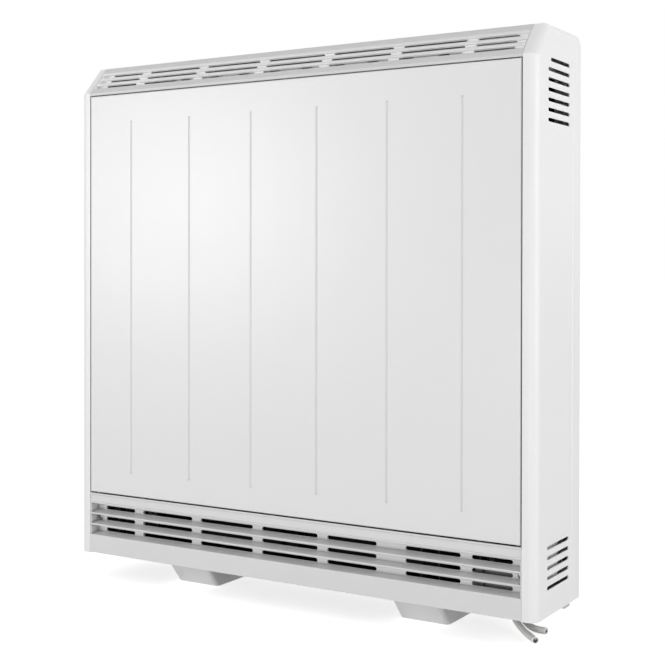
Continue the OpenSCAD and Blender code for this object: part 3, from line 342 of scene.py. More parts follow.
@dataclass(frozen=True)
class Finish:
    """A surface finish with light soiling.

    Scales count a pattern's repeats in a metre. Depths and reaches are millimetres.
    Swing is how far the roughness goes either way. Where dulled is set, soil roughens too.
    """

    name: str
    colour: Colour
    roughness: float = 0.5
    soil: Colour = (0.42, 0.41, 0.38)
    soil_amount: float = 0.06
    soil_scale: float = 5.0
    swing: float = 0.08
    depth: float = 0.02
    metallic: float = 0.0
    dulled: bool = False

    def material(self) -> bpy.types.Material:
        """Gives the finish as a material, built the first time it is asked for.

        Returns:
            The material.
        """
        found = bpy.data.materials.get(self.name)
        if found is not None:
            return found
        made = bpy.data.materials.new(self.name)
        graph = empty_graph(made)
        colour, tone, height = self.pattern(graph)
        soil = graph.effect(
            EFFECTS.soil, Vector=graph.coords, Colour=colour, Soil=rgba(self.soil),
            Scale=self.soil_scale, Amount=self.soil_amount,
        )
        if self.dulled:
            tone = graph.math("ADD", soil["Mask"], tone)
        low, high = self.roughness - self.swing, self.roughness + self.swing
        bump = graph.add("ShaderNodeBump", {"Height": height, "Distance": self.depth * MM})
        shader = graph.add(
            "ShaderNodeBsdfPrincipled",
            {
                "Base Color": soil["Colour"],
                "Metallic": self.metallic,
                "Roughness": graph.remap(tone, 0.0, 1.0, low, high),
                "Normal": bump.outputs[0],
            },
        )
        graph.add("ShaderNodeOutputMaterial", {"Surface": shader.outputs[0]})
        return made

    def pattern(self, graph: Graph) -> Pattern:
        """Lays out the finish before it is soiled.

        Args:
            graph: the material's graph.

        Returns:
            The colour, and the patterns of its gloss and its relief from 0 to 1.
        """
        raise NotImplementedError


@dataclass(frozen=True)
class GrainedCoat(Finish):
    """A stoved enamel or a moulded plastic: a fine grain, and painted shading in its seams and
    recesses: painted shade with a dark tone, painted light with a pale one.
    """

    swing: float = 0.06
    dulled: bool = True
    grain_scale: float = 900.0
    # the painted shading in seams and recesses: its share, its reach in millimetres and its painted
    # tone
    painted_shading: float = 0.0
    painted_shading_reach: float = 3.0
    painted_shading_tone: float = 0.03

    def pattern(self, graph: Graph) -> Pattern:
        """Lays the grain over the colour, with painted shading in its seams and recesses.

        Args:
            graph: the material's graph.

        Returns:
            The colour, the gloss and the relief.
        """
        colour: Any = rgba(self.colour)
        # Painted shading mixed into seams, grooves and recesses: painted shade with a dark tone,
        # painted light with a pale one.
        if self.painted_shading:
            seams = graph.effect(EFFECTS.painted_shading_mask, Reach=self.painted_shading_reach * MM)["Mask"]
            share = graph.math("MULTIPLY", seams, self.painted_shading)
            colour = graph.mix(share, colour, rgba(grey(self.painted_shading_tone)))
        grain = graph.effect(EFFECTS.grain, Vector=graph.coords, Scale=self.grain_scale)["Height"]
        return colour, grain, grain


@dataclass(frozen=True)
class Galvanised(Finish):
    """Zinc-coated sheet steel with its crystal spangle, and near-black painted shade on the side
    that faces one way.
    """

    swing: float = 0.09
    depth: float = 0.03
    metallic: float = 0.85
    spangle_scale: float = 170.0
    darkest: float = 0.85
    palest: float = 1.1
    bend_scale: float = 60.0
    bend: float = 8.0
    painted_shade_tone: float = 0.012
    painted_shade_from: float = 0.5
    painted_shade_towards: Point | None = None

    def pattern(self, graph: Graph) -> Pattern:
        """Lays the bent crystals and paints near-black shade on one side.

        Args:
            graph: the material's graph.

        Returns:
            The colour, the gloss and the relief.
        """
        waves = graph.add(
            "ShaderNodeTexNoise", {"Vector": graph.coords, "Scale": self.bend_scale, "Detail": 2.0}
        )
        shifted = graph.add(
            "ShaderNodeVectorMath",
            {0: waves.outputs[1], 1: grey(self.bend * MM), 2: graph.coords},
            operation="MULTIPLY_ADD",
        ).outputs[0]
        cells = graph.add("ShaderNodeTexVoronoi", {"Vector": shifted, "Scale": self.spangle_scale})
        tone = graph.add("ShaderNodeSeparateColor", {0: cells.outputs["Color"]}).outputs[0]
        zinc = graph.mix(tone, rgba(self.colour, self.darkest), rgba(self.colour, self.palest))
        # Painted shade: faces that point one way turn near black.
        if self.painted_shade_towards is not None:
            normal = graph.add("ShaderNodeTexCoord").outputs["Normal"]
            facing = graph.add(
                "ShaderNodeVectorMath", {0: normal, 1: self.painted_shade_towards}, operation="DOT_PRODUCT"
            ).outputs["Value"]
            painted_shade = graph.math("GREATER_THAN", facing, self.painted_shade_from)
            zinc = graph.mix(painted_shade, zinc, rgba(grey(self.painted_shade_tone)))
        return zinc, tone, cells.outputs["Distance"]


@dataclass(frozen=True)
class DrawnMetal(Finish):
    """Drawn, turned or plated metal with fine lines along one axis."""

    depth: float = 0.012
    metallic: float = 1.0
    worn: float = 0.86
    stretch: Point = (40.0, 1600.0, 1600.0)

    def pattern(self, graph: Graph) -> Pattern:
        """Lays the drawn lines over the metal.

        Args:
            graph: the material's graph.

        Returns:
            The colour, the gloss and the relief.
        """
        lines = graph.effect(EFFECTS.brushing, Vector=graph.coords, Stretch=self.stretch)["Lines"]
        metal = graph.mix(lines, rgba(self.colour, self.worn), rgba(self.colour))
        return metal, lines, lines


@dataclass(frozen=True)
class PressedBoard(Finish):
    """Pressed mineral board: a pale fibrous surface with small pits."""

    depth: float = 0.6
    shade: float = 0.72
    fibre_scale: float = 260.0
    fibre_roughness: float = 0.7
    fibre_curl: float = 1.4
    pit_scale: float = 130.0

    def pattern(self, graph: Graph) -> Pattern:
        """Lays the fibres and the pits.

        Args:
            graph: the material's graph.

        Returns:
            The colour, the gloss and the relief.
        """
        fibres = graph.add(
            "ShaderNodeTexNoise",
            {
                "Vector": graph.coords, "Scale": self.fibre_scale, "Detail": 6.0,
                "Roughness": self.fibre_roughness, "Distortion": self.fibre_curl,
            },
        ).outputs[0]
        pits = graph.add("ShaderNodeTexVoronoi", {"Vector": graph.coords, "Scale": self.pit_scale})
        pitted = graph.math("MINIMUM", pits.outputs["Distance"], 1.0)
        board = graph.mix(fibres, rgba(self.colour, self.shade), rgba(self.colour))
        return board, fibres, graph.math("MULTIPLY", fibres, pitted)


@dataclass(frozen=True)
class FiredBrick(Finish):
    """Dense fired brick: a dark clouded body with pale speckles."""

    swing: float = 0.1
    depth: float = 0.3
    rust: Point = (1.7, 1.25, 1.0)
    cloud_scale: float = 18.0
    speckle_scale: float = 420.0
    speckle_share: float = 0.35
    speckle_tone: float = 0.16

    def pattern(self, graph: Graph) -> Pattern:
        """Lays the firing clouds, the speckles and the coarse skin.

        Args:
            graph: the material's graph.

        Returns:
            The colour, the gloss and the relief.
        """
        speckle = graph.add(
            "ShaderNodeTexVoronoi", {"Vector": graph.coords, "Scale": self.speckle_scale}
        )
        tone = graph.add("ShaderNodeSeparateColor", {0: speckle.outputs["Color"]}).outputs[1]
        cloud = graph.noise(graph.coords, self.cloud_scale, detail=5.0)
        rusty = tuple(level * more for level, more in zip(self.colour, self.rust))
        body = graph.mix(cloud, rgba(self.colour), rgba(rusty))
        share = graph.math("MULTIPLY", tone, self.speckle_share)
        brick = graph.mix(share, body, rgba(grey(self.speckle_tone)))
        return brick, tone, speckle.outputs["Distance"]


class Finishes:
    """Every finish of the heater, named for the pieces that wear it."""

    # The white enamel carries painted shade along its seams.
    WHITE_ENAMEL = GrainedCoat(
        "white_stoved_enamel", grey(0.85), 0.34, soil=grey(0.74), soil_amount=0.1,
        soil_scale=3.0, depth=0.012, grain_scale=850.0, painted_shading=0.5, painted_shading_reach=2.0,
    )
    # The left side panel's copy of the white enamel leaves the painted seam shade out.
    LEFT_ENAMEL = replace(WHITE_ENAMEL, name="left_side_enamel", painted_shading=0.0)
    # The front panel's enamel is a darker copy of the white enamel: painted shade on the front
    # face, and painted shade in its grooves and seams.
    PANEL_ENAMEL = GrainedCoat(
        "front_panel_enamel", grey(0.785), 0.3, soil=grey(0.7), soil_amount=0.08,
        soil_scale=2.4, depth=0.012, grain_scale=850.0, painted_shading=0.95, painted_shading_reach=2.0,
    )
    # The lower grille carries painted shade in its recesses.
    GRILLE_PLASTIC = GrainedCoat(
        "grille_moulding", grey(0.72), 0.42, soil=grey(0.52), soil_amount=0.12,
        soil_scale=9.0, grain_scale=1500.0, painted_shading=0.4, painted_shading_reach=5.0,
    )
    # The outlet moulding is a darker copy of the grille plastic, painted shade on its up-facing
    # slope, and its recessed walls are painted paler: painted light.
    OUTLET_PLASTIC = GrainedCoat(
        "outlet_moulding", grey(0.66), 0.46, soil=grey(0.48), soil_amount=0.14, soil_scale=9.0,
        grain_scale=1500.0, painted_shading=0.95, painted_shading_reach=9.0, painted_shading_tone=0.98,
    )
    FOOT_ENAMEL = GrainedCoat(
        "foot_enamel", grey(0.9), 0.44, soil=grey(0.55), soil_amount=0.14, soil_scale=12.0,
        depth=0.03,
    )
    WELL_PLASTIC = GrainedCoat(
        "control_moulding", grey(0.63), 0.45, soil_amount=0.1, soil_scale=20.0,
        grain_scale=1600.0,
    )
    KNOB_PLASTIC = GrainedCoat(
        "knob_moulding", (0.8, 0.8, 0.79), 0.35, soil_amount=0.08, soil_scale=40.0,
        depth=0.01, grain_scale=2000.0,
    )
    PAD_RUBBER = GrainedCoat(
        "spacer_moulding", grey(0.62), 0.6, soil_amount=0.2, soil_scale=40.0, depth=0.05,
        grain_scale=1400.0,
    )
    BOX_PLASTIC = GrainedCoat(
        "terminal_box_moulding", grey(0.15), 0.5, soil_amount=0.12, soil_scale=30.0,
        depth=0.03, grain_scale=1400.0,
    )
    TERMINAL_PLASTIC = GrainedCoat(
        "terminal_moulding", grey(0.45), 0.42, soil_amount=0.1, soil_scale=60.0,
        grain_scale=1700.0,
    )
    CAM_PLASTIC = GrainedCoat(
        "cam_moulding", (0.045, 0.045, 0.05), 0.48, soil=grey(0.2), soil_amount=0.15,
        soil_scale=60.0, depth=0.03, grain_scale=1700.0,
    )
    PRINT = GrainedCoat(
        "dial_print", (0.07, 0.07, 0.08), 0.55, soil=grey(0.2), soil_amount=0.2,
        soil_scale=400.0, depth=0.004, grain_scale=4000.0,
    )
    CABLE_SHEATH = GrainedCoat(
        "cable_sheath", grey(0.92), 0.42, soil=grey(0.6), soil_amount=0.15,
        soil_scale=60.0, depth=0.04, grain_scale=1200.0,
    )
    CABLE_FILLER = GrainedCoat(
        "cable_filler", (0.035, 0.034, 0.033), 0.7, soil=grey(0.1), soil_amount=0.4,
        soil_scale=500.0, depth=0.1, grain_scale=3000.0,
    )
    SLEEVE_BROWN = GrainedCoat(
        "brown_sleeve", (0.06, 0.032, 0.024), 0.4, soil_amount=0.1, soil_scale=90.0,
        depth=0.01, grain_scale=2500.0,
    )
    SLEEVE_BLUE = replace(SLEEVE_BROWN, name="blue_sleeve", colour=(0.025, 0.045, 0.09))
    SLEEVE_PALE = replace(
        SLEEVE_BROWN, name="pale_sleeve", colour=(0.78, 0.78, 0.74), roughness=0.42
    )
    PORCELAIN = GrainedCoat(
        "bead_porcelain", (0.8, 0.79, 0.75), 0.25, soil_amount=0.1, soil_scale=60.0,
        depth=0.04, grain_scale=700.0,
    )
    PRIMED_SHEET = GrainedCoat(
        "primed_sheet", grey(0.86), 0.5, soil=grey(0.6), soil_amount=0.15, soil_scale=14.0,
        depth=0.015, grain_scale=1000.0,
    )
    # A near-black sheet for the base plate, core shelf and compartment wall.
    NEAR_BLACK_SHEET = GrainedCoat(
        "near_black_sheet", (0.022, 0.022, 0.024), 0.62, soil=(0.06, 0.055, 0.05),
        soil_amount=0.35, soil_scale=25.0, grain_scale=1100.0,
    )
    GALVANISED = Galvanised("galvanised_sheet", (0.56, 0.57, 0.58), 0.42, soil_amount=0.12)
    # The back panel's inner face is painted near black: painted shade where the vents show the
    # inside.
    BACK_SHEET = replace(GALVANISED, name="back_sheet", painted_shade_towards=(0.0, -1.0, 0.0))
    DARK_SHEET = Galvanised(
        "inner_sheet", (0.36, 0.37, 0.38), 0.5, soil=(0.12, 0.11, 0.1), soil_amount=0.3,
        spangle_scale=140.0,
    )
    SCREW_STEEL = DrawnMetal("screw_steel", grey(0.42), 0.36, soil_amount=0.12, soil_scale=200.0)
    SPINDLE_STEEL = DrawnMetal(
        "spindle_steel", (0.62, 0.62, 0.61), 0.28, soil_amount=0.08, soil_scale=90.0,
        stretch=(1600.0, 1600.0, 40.0),
    )
    ELEMENT_SHEATH = DrawnMetal(
        "element_sheath", (0.3, 0.29, 0.27), 0.45, soil=(0.1, 0.08, 0.07), soil_amount=0.4,
        soil_scale=30.0,
    )
    COPPER = DrawnMetal(
        "copper", (0.42, 0.27, 0.18), 0.38, soil=(0.16, 0.1, 0.07), soil_amount=0.4,
        soil_scale=200.0,
    )
    BRASS = DrawnMetal(
        "brass", (0.7, 0.55, 0.26), 0.3, soil=(0.3, 0.22, 0.1), soil_amount=0.2,
        soil_scale=150.0,
    )
    BOARD = PressedBoard(
        "insulation_board", (0.6, 0.53, 0.4), 0.9, soil_amount=0.15, soil_scale=12.0
    )
    BRICK = FiredBrick(
        "storage_brick", (0.07, 0.048, 0.04), 0.7, soil_amount=0.1, soil_scale=20.0
    )


def dress(finish: Finish, *nodes: str) -> None:
    """Gives CAD nodes a finish.

    Args:
        finish: the finish.
        nodes: the CAD nodes' names.
    """
    for name in nodes:
        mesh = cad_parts[name].data
        mesh.materials.clear()
        mesh.materials.append(finish.material())
        log.info("%s wears %s", name, finish.name)


# ---- Mesh tools ----


def new_object(name: str, data: bpy.types.ID) -> Object:
    """Makes an object at the origin and puts it in the scene.

    Args:
        name: the object's name.
        data: its mesh, text, lamp or camera.

    Returns:
        The new object.
    """
    made = bpy.data.objects.new(name, data)
    bpy.context.scene.collection.objects.link(made)
    return made


def mesh_piece(name: str, build: Callable[[BMesh], None], *finishes: Finish) -> Object:
    """Makes a mesh object at the origin.

    Args:
        name: the piece's name.
        build: fills the mesh.
        finishes: its finishes, in the order of the faces' material numbers.

    Returns:
        The new object.
    """
    made = bmesh.new()
    build(made)
    bmesh.ops.remove_doubles(made, verts=made.verts, dist=SAME_PLACE)
    bmesh.ops.recalc_face_normals(made, faces=made.faces)
    data = bpy.data.meshes.new(name)
    made.to_mesh(data)
    made.free()
    for finish in finishes:
        data.materials.append(finish.material())
    return new_object(name, data)


def settle(piece: Object, body: Body) -> Object:
    """Makes a finished piece ride on a body and reports it.

    Args:
        piece: the piece, in place.
        body: the body that carries it.

    Returns:
        The same piece.
    """
    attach(piece, body.value)
    log.info("%s rides on %s, %d faces", piece.name, body.value, len(piece.data.polygons))
    return piece


def on_circle(centre: Vector, heading: Vector, radius: float, turn: float) -> Vector:
    """Finds a point of a circle that is square to a heading.

    Args:
        centre: the circle's centre.
        heading: the direction that it faces.
        radius: its radius.
        turn: the point's angle in radians.

    Returns:
        The point.
    """
    across = heading.cross(UPWARDS).normalized()
    up = heading.cross(across).normalized()
    return centre + radius * (math.cos(turn) * across + math.sin(turn) * up)


def add_ring(
    mesh: BMesh, centre: Vector, heading: Vector, radius: float, sides: int
) -> list[BMVert]:
    """Adds a ring of vertices square to a heading.

    Args:
        mesh: the mesh.
        centre: the ring's centre.
        heading: the direction that it faces.
        radius: its radius.
        sides: its number of vertices.

    Returns:
        The new vertices in order.
    """
    turns = (2 * math.pi * k / sides for k in range(sides))
    return [mesh.verts.new(on_circle(centre, heading, radius, turn)) for turn in turns]


def join_rings(mesh: BMesh, rings: Sequence[Sequence[BMVert]], material: int = 0) -> None:
    """Joins rings of vertices, each to the next, with smooth quads.

    Args:
        mesh: the mesh.
        rings: the rings, each with the same number of vertices.
        material: the faces' material number.
    """
    for low, high in zip(rings, rings[1:]):
        for k in range(len(low)):
            after = (k + 1) % len(low)
            face = mesh.faces.new((low[k], low[after], high[after], high[k]))
            face.smooth = True
            face.material_index = material


def smooth_path(points: Sequence[Point], steps: int) -> list[Vector]:
    """Runs a smooth curve through points.

    Args:
        points: the points, in the casing frame in millimetres.
        steps: how many pieces each span is cut into.

    Returns:
        The curve's points in metres, in the row frame.
    """
    knots = [in_case(point) for point in points]
    path: list[Vector] = []
    for i in range(len(knots) - 1):
        a, b = knots[max(i - 1, 0)], knots[i]
        c, d = knots[i + 1], knots[min(i + 2, len(knots) - 1)]
        for k in range(steps):
            t = k / steps
            bend = (2 * a - 5 * b + 4 * c - d) * t * t + (3 * b - a - 3 * c + d) * t * t * t
            path.append(0.5 * (2 * b + (c - a) * t + bend))
    path.append(knots[-1])
    return path


# ---- Geometry Nodes ----


@dataclass(frozen=True)
class Repeat:
    """A Geometry Nodes tree that puts one small solid on each of many places.

    The solid is a stub with a chamfered rim, or a dome on both sides of its place.
    A dome's height is measured from its middle.
    """

    name: str
    finish: Finish
    radius: float
    height: float
    sides: int = 16
    dome: bool = False
    rings: int = 8
    chamfer: float = 0.18

    def _solid(self, graph: Graph, given: Any) -> Socket:
        """Adds the solid that is repeated.

        Args:
            graph: the tree's graph.
            given: the sockets that bring the tree's inputs.

        Returns:
            The solid's geometry.
        """
        if self.dome:
            sizes = {"Segments": given["Sides"], "Rings": self.rings, "Radius": given["Radius"]}
            ball = graph.add("GeometryNodeMeshUVSphere", sizes).outputs[0]
            ratio = graph.math("DIVIDE", given["Height"], given["Radius"])
            scale = graph.add("ShaderNodeCombineXYZ", {0: 1.0, 1: 1.0, 2: ratio}).outputs[0]
            return graph.add("GeometryNodeTransform", {"Geometry": ball, "Scale": scale}).outputs[0]
        sizes = {"Vertices": given["Sides"], "Radius": given["Radius"], "Depth": given["Height"]}
        stub = graph.add("GeometryNodeMeshCylinder", sizes).outputs
        lift = graph.math("MULTIPLY", given["Radius"], self.chamfer)
        top = {"Mesh": stub["Mesh"], "Selection": stub["Top"], "Offset Scale": lift}
        raised = graph.add("GeometryNodeExtrudeMesh", top).outputs
        rim = {"Geometry": raised["Mesh"], "Selection": raised["Top"], "Scale": 1.0 - self.chamfer}
        return graph.add("GeometryNodeScaleElements", rim).outputs[0]

    def _tree(self) -> Tree:
        """Builds the tree: every place carries the solid, its axis turned one way.

        Returns:
            The tree, with the inputs Places, Radius, Height, Sides and Axis.
        """
        graph, given = new_group(
            self.name + "_repeat",
            "GeometryNodeTree",
            {
                "Places": "Geometry", "Radius": "Float", "Height": "Float", "Sides": "Int",
                "Axis": "Vector",
            },
            {"Solids": "Geometry"},
        )
        turn = graph.add("FunctionNodeAlignRotationToVector", {"Vector": given["Axis"]}, axis="Z")
        copies = graph.add(
            "GeometryNodeInstanceOnPoints",
            {
                "Points": given["Places"],
                "Instance": self._solid(graph, given),
                "Rotation": turn.outputs[0],
            },
        ).outputs[0]
        real = graph.add("GeometryNodeRealizeInstances", {0: copies}).outputs[0]
        dressed = graph.add(
            "GeometryNodeSetMaterial", {"Geometry": real, "Material": self.finish.material()}
        ).outputs[0]
        graph.add("NodeGroupOutput", {"Solids": dressed})
        return graph.tree

    def on(self, places: Sequence[Vector], axis: Vector, body: Body) -> Object:
        """Repeats the solid on places, and keeps the result as a plain mesh.

        Args:
            places: the solids' centres.
            axis: the direction of their axes.
            body: the body that carries them.

        Returns:
            The finished piece.
        """
        carrier = bpy.data.meshes.new(self.name + "_places")
        carrier.from_pydata([tuple(place) for place in places], [], [])
        piece = new_object(self.name, carrier)
        modifier = piece.modifiers.new("repeat", "NODES")
        modifier.node_group = self._tree()
        values = {
            "Radius": self.radius, "Height": self.height, "Sides": self.sides, "Axis": tuple(axis)
        }
        for item in modifier.node_group.interface.items_tree:
            if item.in_out == "INPUT" and item.name in values:
                modifier[item.identifier] = values[item.name]
        bpy.context.view_layer.update()
        evaluated = piece.evaluated_get(bpy.context.evaluated_depsgraph_get())
        plain = bpy.data.meshes.new_from_object(evaluated)
        piece.modifiers.remove(modifier)
        piece.data = plain
        bpy.data.meshes.remove(carrier)
        return settle(piece, body)


# ---- Sub-assemblies ----


@dataclass
class Casing:
    """The outer casing: panels, grilles, cover, feet and spacers."""

    weld_pitch: float = 48.0
    weld_radius: float = 2.2
    weld_height: float = 0.25
    weld_inset: float = 4.0
    weld_margin: float = 40.0

    def dress(self) -> None:
        """Gives the casing's CAD nodes their finishes."""
        dress(Finishes.WHITE_ENAMEL, "right_side_panel", "top_cover")
        dress(Finishes.LEFT_ENAMEL, "left_side_panel")
        dress(Finishes.PANEL_ENAMEL, "front_panel")
        dress(Finishes.GRILLE_PLASTIC, "lower_grille")
        dress(Finishes.OUTLET_PLASTIC, "top_grille", "control_flap")
        dress(Finishes.FOOT_ENAMEL, "left_foot", "right_foot")
        dress(Finishes.PAD_RUBBER, "wall_spacers", "cable_outlet")
        dress(Finishes.BACK_SHEET, "back_panel")
        dress(Finishes.GALVANISED, "left_post", "right_post", "panel_clips")
        dress(Finishes.NEAR_BLACK_SHEET, "base_plate")
        dress(Finishes.SCREW_STEEL, "foot_screws", "grille_screws", "back_screws")

    def add_welds(self) -> None:
        """Adds the rows of spot welds that hold the back panel's edges."""
        low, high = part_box("back_panel")
        margin, pitch = self.weld_margin * MM, self.weld_pitch * MM
        count = int((high.z - low.z - 2 * margin) / pitch)
        column = high.x - self.weld_inset * MM
        rows = [
            Vector((side * column, high.y, low.z + margin + k * pitch))
            for side in (-1, 1)
            for k in range(count)
        ]
        radius, height = self.weld_radius * MM, self.weld_height * MM
        weld = Repeat("spot_welds", Finishes.GALVANISED, radius, height, dome=True)
        weld.on(rows, BACKWARDS, Body.CASING)


@dataclass
class Core:
    """The brick core with its insulation, elements, inner sheets and damper."""

    def dress(self) -> None:
        """Gives the core's CAD nodes their finishes."""
        dress(Finishes.BRICK, "lower_bricks", "middle_bricks", "upper_bricks")
        dress(
            Finishes.BOARD, "base_insulation", "front_insulation", "back_insulation",
            "left_insulation", "right_insulation", "top_insulation",
        )
        dress(Finishes.ELEMENT_SHEATH, "lower_element", "middle_element", "upper_element")
        dress(Finishes.NEAR_BLACK_SHEET, "core_shelf", "compartment_wall")
        dress(Finishes.PRIMED_SHEET, "inner_front_plate")
        dress(Finishes.DARK_SHEET, "core_top_plate")
        dress(Finishes.GALVANISED, "damper_flap", "damper_arm", "damper_bearings")
        dress(Finishes.SPINDLE_STEEL, "damper_shaft")


@dataclass
class Dial:
    """One control dial and the numbers printed on its knob's sloped skirt."""

    name: str
    node: str
    body: Body
    steps: int = 6
    sweep: float = 270.0
    ring: float = 14.6
    rise: float = 3.24
    slope: float = 18.9
    font_size: float = 3.645
    print_height: float = 0.06

    def _digit(self, number: int) -> bpy.types.Mesh:
        """Makes one printed digit, flat at the origin.

        Args:
            number: the digit.

        Returns:
            Its mesh.
        """
        text = bpy.data.curves.new(f"{self.name}_digit", "FONT")
        text.body = str(number)
        text.size = self.font_size * MM
        text.align_x, text.align_y = "CENTER", "CENTER"
        text.extrude = self.print_height * MM
        holder = new_object(text.name, text)
        bpy.context.view_layer.update()
        digit = bpy.data.meshes.new_from_object(holder)
        bpy.data.objects.remove(holder)
        bpy.data.curves.remove(text)
        return digit

    def add_numbers(self) -> Object:
        """Prints the numbers on the knob.

        Returns:
            The finished piece.
        """
        low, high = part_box(self.node)
        centre = Vector(((low.x + high.x) / 2, (low.y + high.y) / 2, low.z))
        outwards = Matrix.Translation(Vector((0.0, -self.ring * MM, self.rise * MM)))
        tilt = Matrix.Rotation(math.radians(self.slope), 4, "X")
        merged = bmesh.new()
        for step in range(self.steps):
            digit = self._digit(step + 1)
            turn = Matrix.Rotation(math.radians(self.sweep * step / (self.steps - 1)), 4, "Z")
            digit.transform(Matrix.Translation(centre) @ turn @ outwards @ tilt)
            merged.from_mesh(digit)
            bpy.data.meshes.remove(digit)
        data = bpy.data.meshes.new(f"{self.name}_numbers")
        merged.to_mesh(data)
        merged.free()
        data.materials.append(Finishes.PRINT.material())
        return settle(new_object(data.name, data), self.body)


@dataclass
class Controls:
    """The control well with its two dials, the cam and the thermostat."""

    mark_width: float = 2.6
    mark_length: float = 3.4
    mark_height: float = 0.08
    mark_gap: float = 0.8
    knob_lift: float = 0.6

    def dress(self) -> None:
        """Gives the controls' CAD nodes their finishes."""
        dress(Finishes.WELL_PLASTIC, "control_housing")
        dress(Finishes.KNOB_PLASTIC, "input_knob", "output_knob")
        dress(Finishes.SPINDLE_STEEL, "input_spindle", "output_spindle", "flap_pins")
        dress(Finishes.SCREW_STEEL, "control_screws")
        dress(Finishes.GALVANISED, "spindle_bracket")
        dress(Finishes.CAM_PLASTIC, "output_cam")
        dress(Finishes.BOX_PLASTIC, "charge_thermostat")
        dress(Finishes.COPPER, "capillary_bulb")

    def add_dials(self) -> None:
        """Prints both dials and the marks that they are read against."""
        for dial in (
            Dial("input_dial", "input_knob", Body.INPUT_DIAL),
            Dial("output_dial", "output_knob", Body.OUTPUT_DIAL),
        ):
            dial.add_numbers()
            self._add_mark(dial)

    def _add_mark(self, dial: Dial) -> None:
        """Adds the printed triangle on the well's floor in front of a dial.

        Args:
            dial: the dial that is read against it.
        """
        low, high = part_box(dial.node)
        middle, half = (low.x + high.x) / 2, self.mark_width / 2 * MM
        tip = low.y - self.mark_gap * MM
        foot = tip - self.mark_length * MM
        floor = low.z - self.knob_lift * MM

        def triangle(mesh: BMesh) -> None:
            """Adds a thin triangle that points at the dial.

            Args:
                mesh: the mark's mesh.
            """
            outline = [(middle - half, foot), (middle + half, foot), (middle, tip)]
            below, above = (
                [mesh.verts.new((x, y, level)) for x, y in outline]
                for level in (floor, floor + self.mark_height * MM)
            )
            mesh.faces.new(below[::-1])
            mesh.faces.new(above)
            join_rings(mesh, [below, above])

        settle(mesh_piece(f"{dial.name}_mark", triangle, Finishes.PRINT), Body.CASING)


@dataclass
class Terminals:
    """The terminal compartment: block, box, wires and element ends."""

    screw_radius: float = 1.9
    screw_height: float = 1.2
    first_mouth: float = 5.5
    mouth_pitch: float = 11.0
    mouth_depth: float = 11.0
    free_mouths: tuple[int, ...] = (1, 3)
    bead_radius: float = 2.9
    bead_height: float = 4.6
    bead_pitch: float = 4.784
    bead_count: int = 4
    bare_end: float = 22.0
    leg_inset: float = 7.0

    def dress(self) -> None:
        """Gives the compartment's CAD nodes their finishes."""
        dress(Finishes.GALVANISED, "terminal_tray")
        dress(Finishes.TERMINAL_PLASTIC, "terminal_block")
        dress(Finishes.BOX_PLASTIC, "junction_box")
        dress(Finishes.BRASS, "earth_stud")
        dress(Finishes.CAM_PLASTIC, "thermal_cutout")
        dress(Finishes.SLEEVE_BROWN, "live_wire")
        dress(Finishes.SLEEVE_BLUE, "neutral_wire")
        dress(Finishes.SLEEVE_PALE, "earth_wire")

    def add_screws(self) -> None:
        """Adds the terminal screws in the block's free mouths."""
        low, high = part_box("terminal_block")
        radius, height = self.screw_radius * MM, self.screw_height * MM
        middle = (low.x + high.x) / 2
        level = high.z - self.mouth_depth * MM + height / 2
        rows = (low.y + (self.first_mouth + k * self.mouth_pitch) * MM for k in self.free_mouths)
        screws = Repeat("terminal_screws", Finishes.BRASS, radius, height)
        screws.on([Vector((middle, row, level)) for row in rows], UPWARDS, Body.CASING)

    def add_beads(self) -> None:
        """Threads porcelain beads on the bare ends of the elements."""
        radius, half = self.bead_radius * MM, self.bead_height * MM / 2
        inset = self.leg_inset * MM
        places = []
        for node in ("lower_element", "middle_element", "upper_element"):
            low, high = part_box(node)
            start = high.x - self.bare_end * MM + half
            for leg in (low.z + inset, high.z - inset):
                for k in range(self.bead_count):
                    along = start + k * self.bead_pitch * MM
                    places.append(Vector((along, (low.y + high.y) / 2, leg)))
        beads = Repeat("element_beads", Finishes.PORCELAIN, radius, half, dome=True)
        beads.on(places, RIGHTWARDS, Body.CASING)


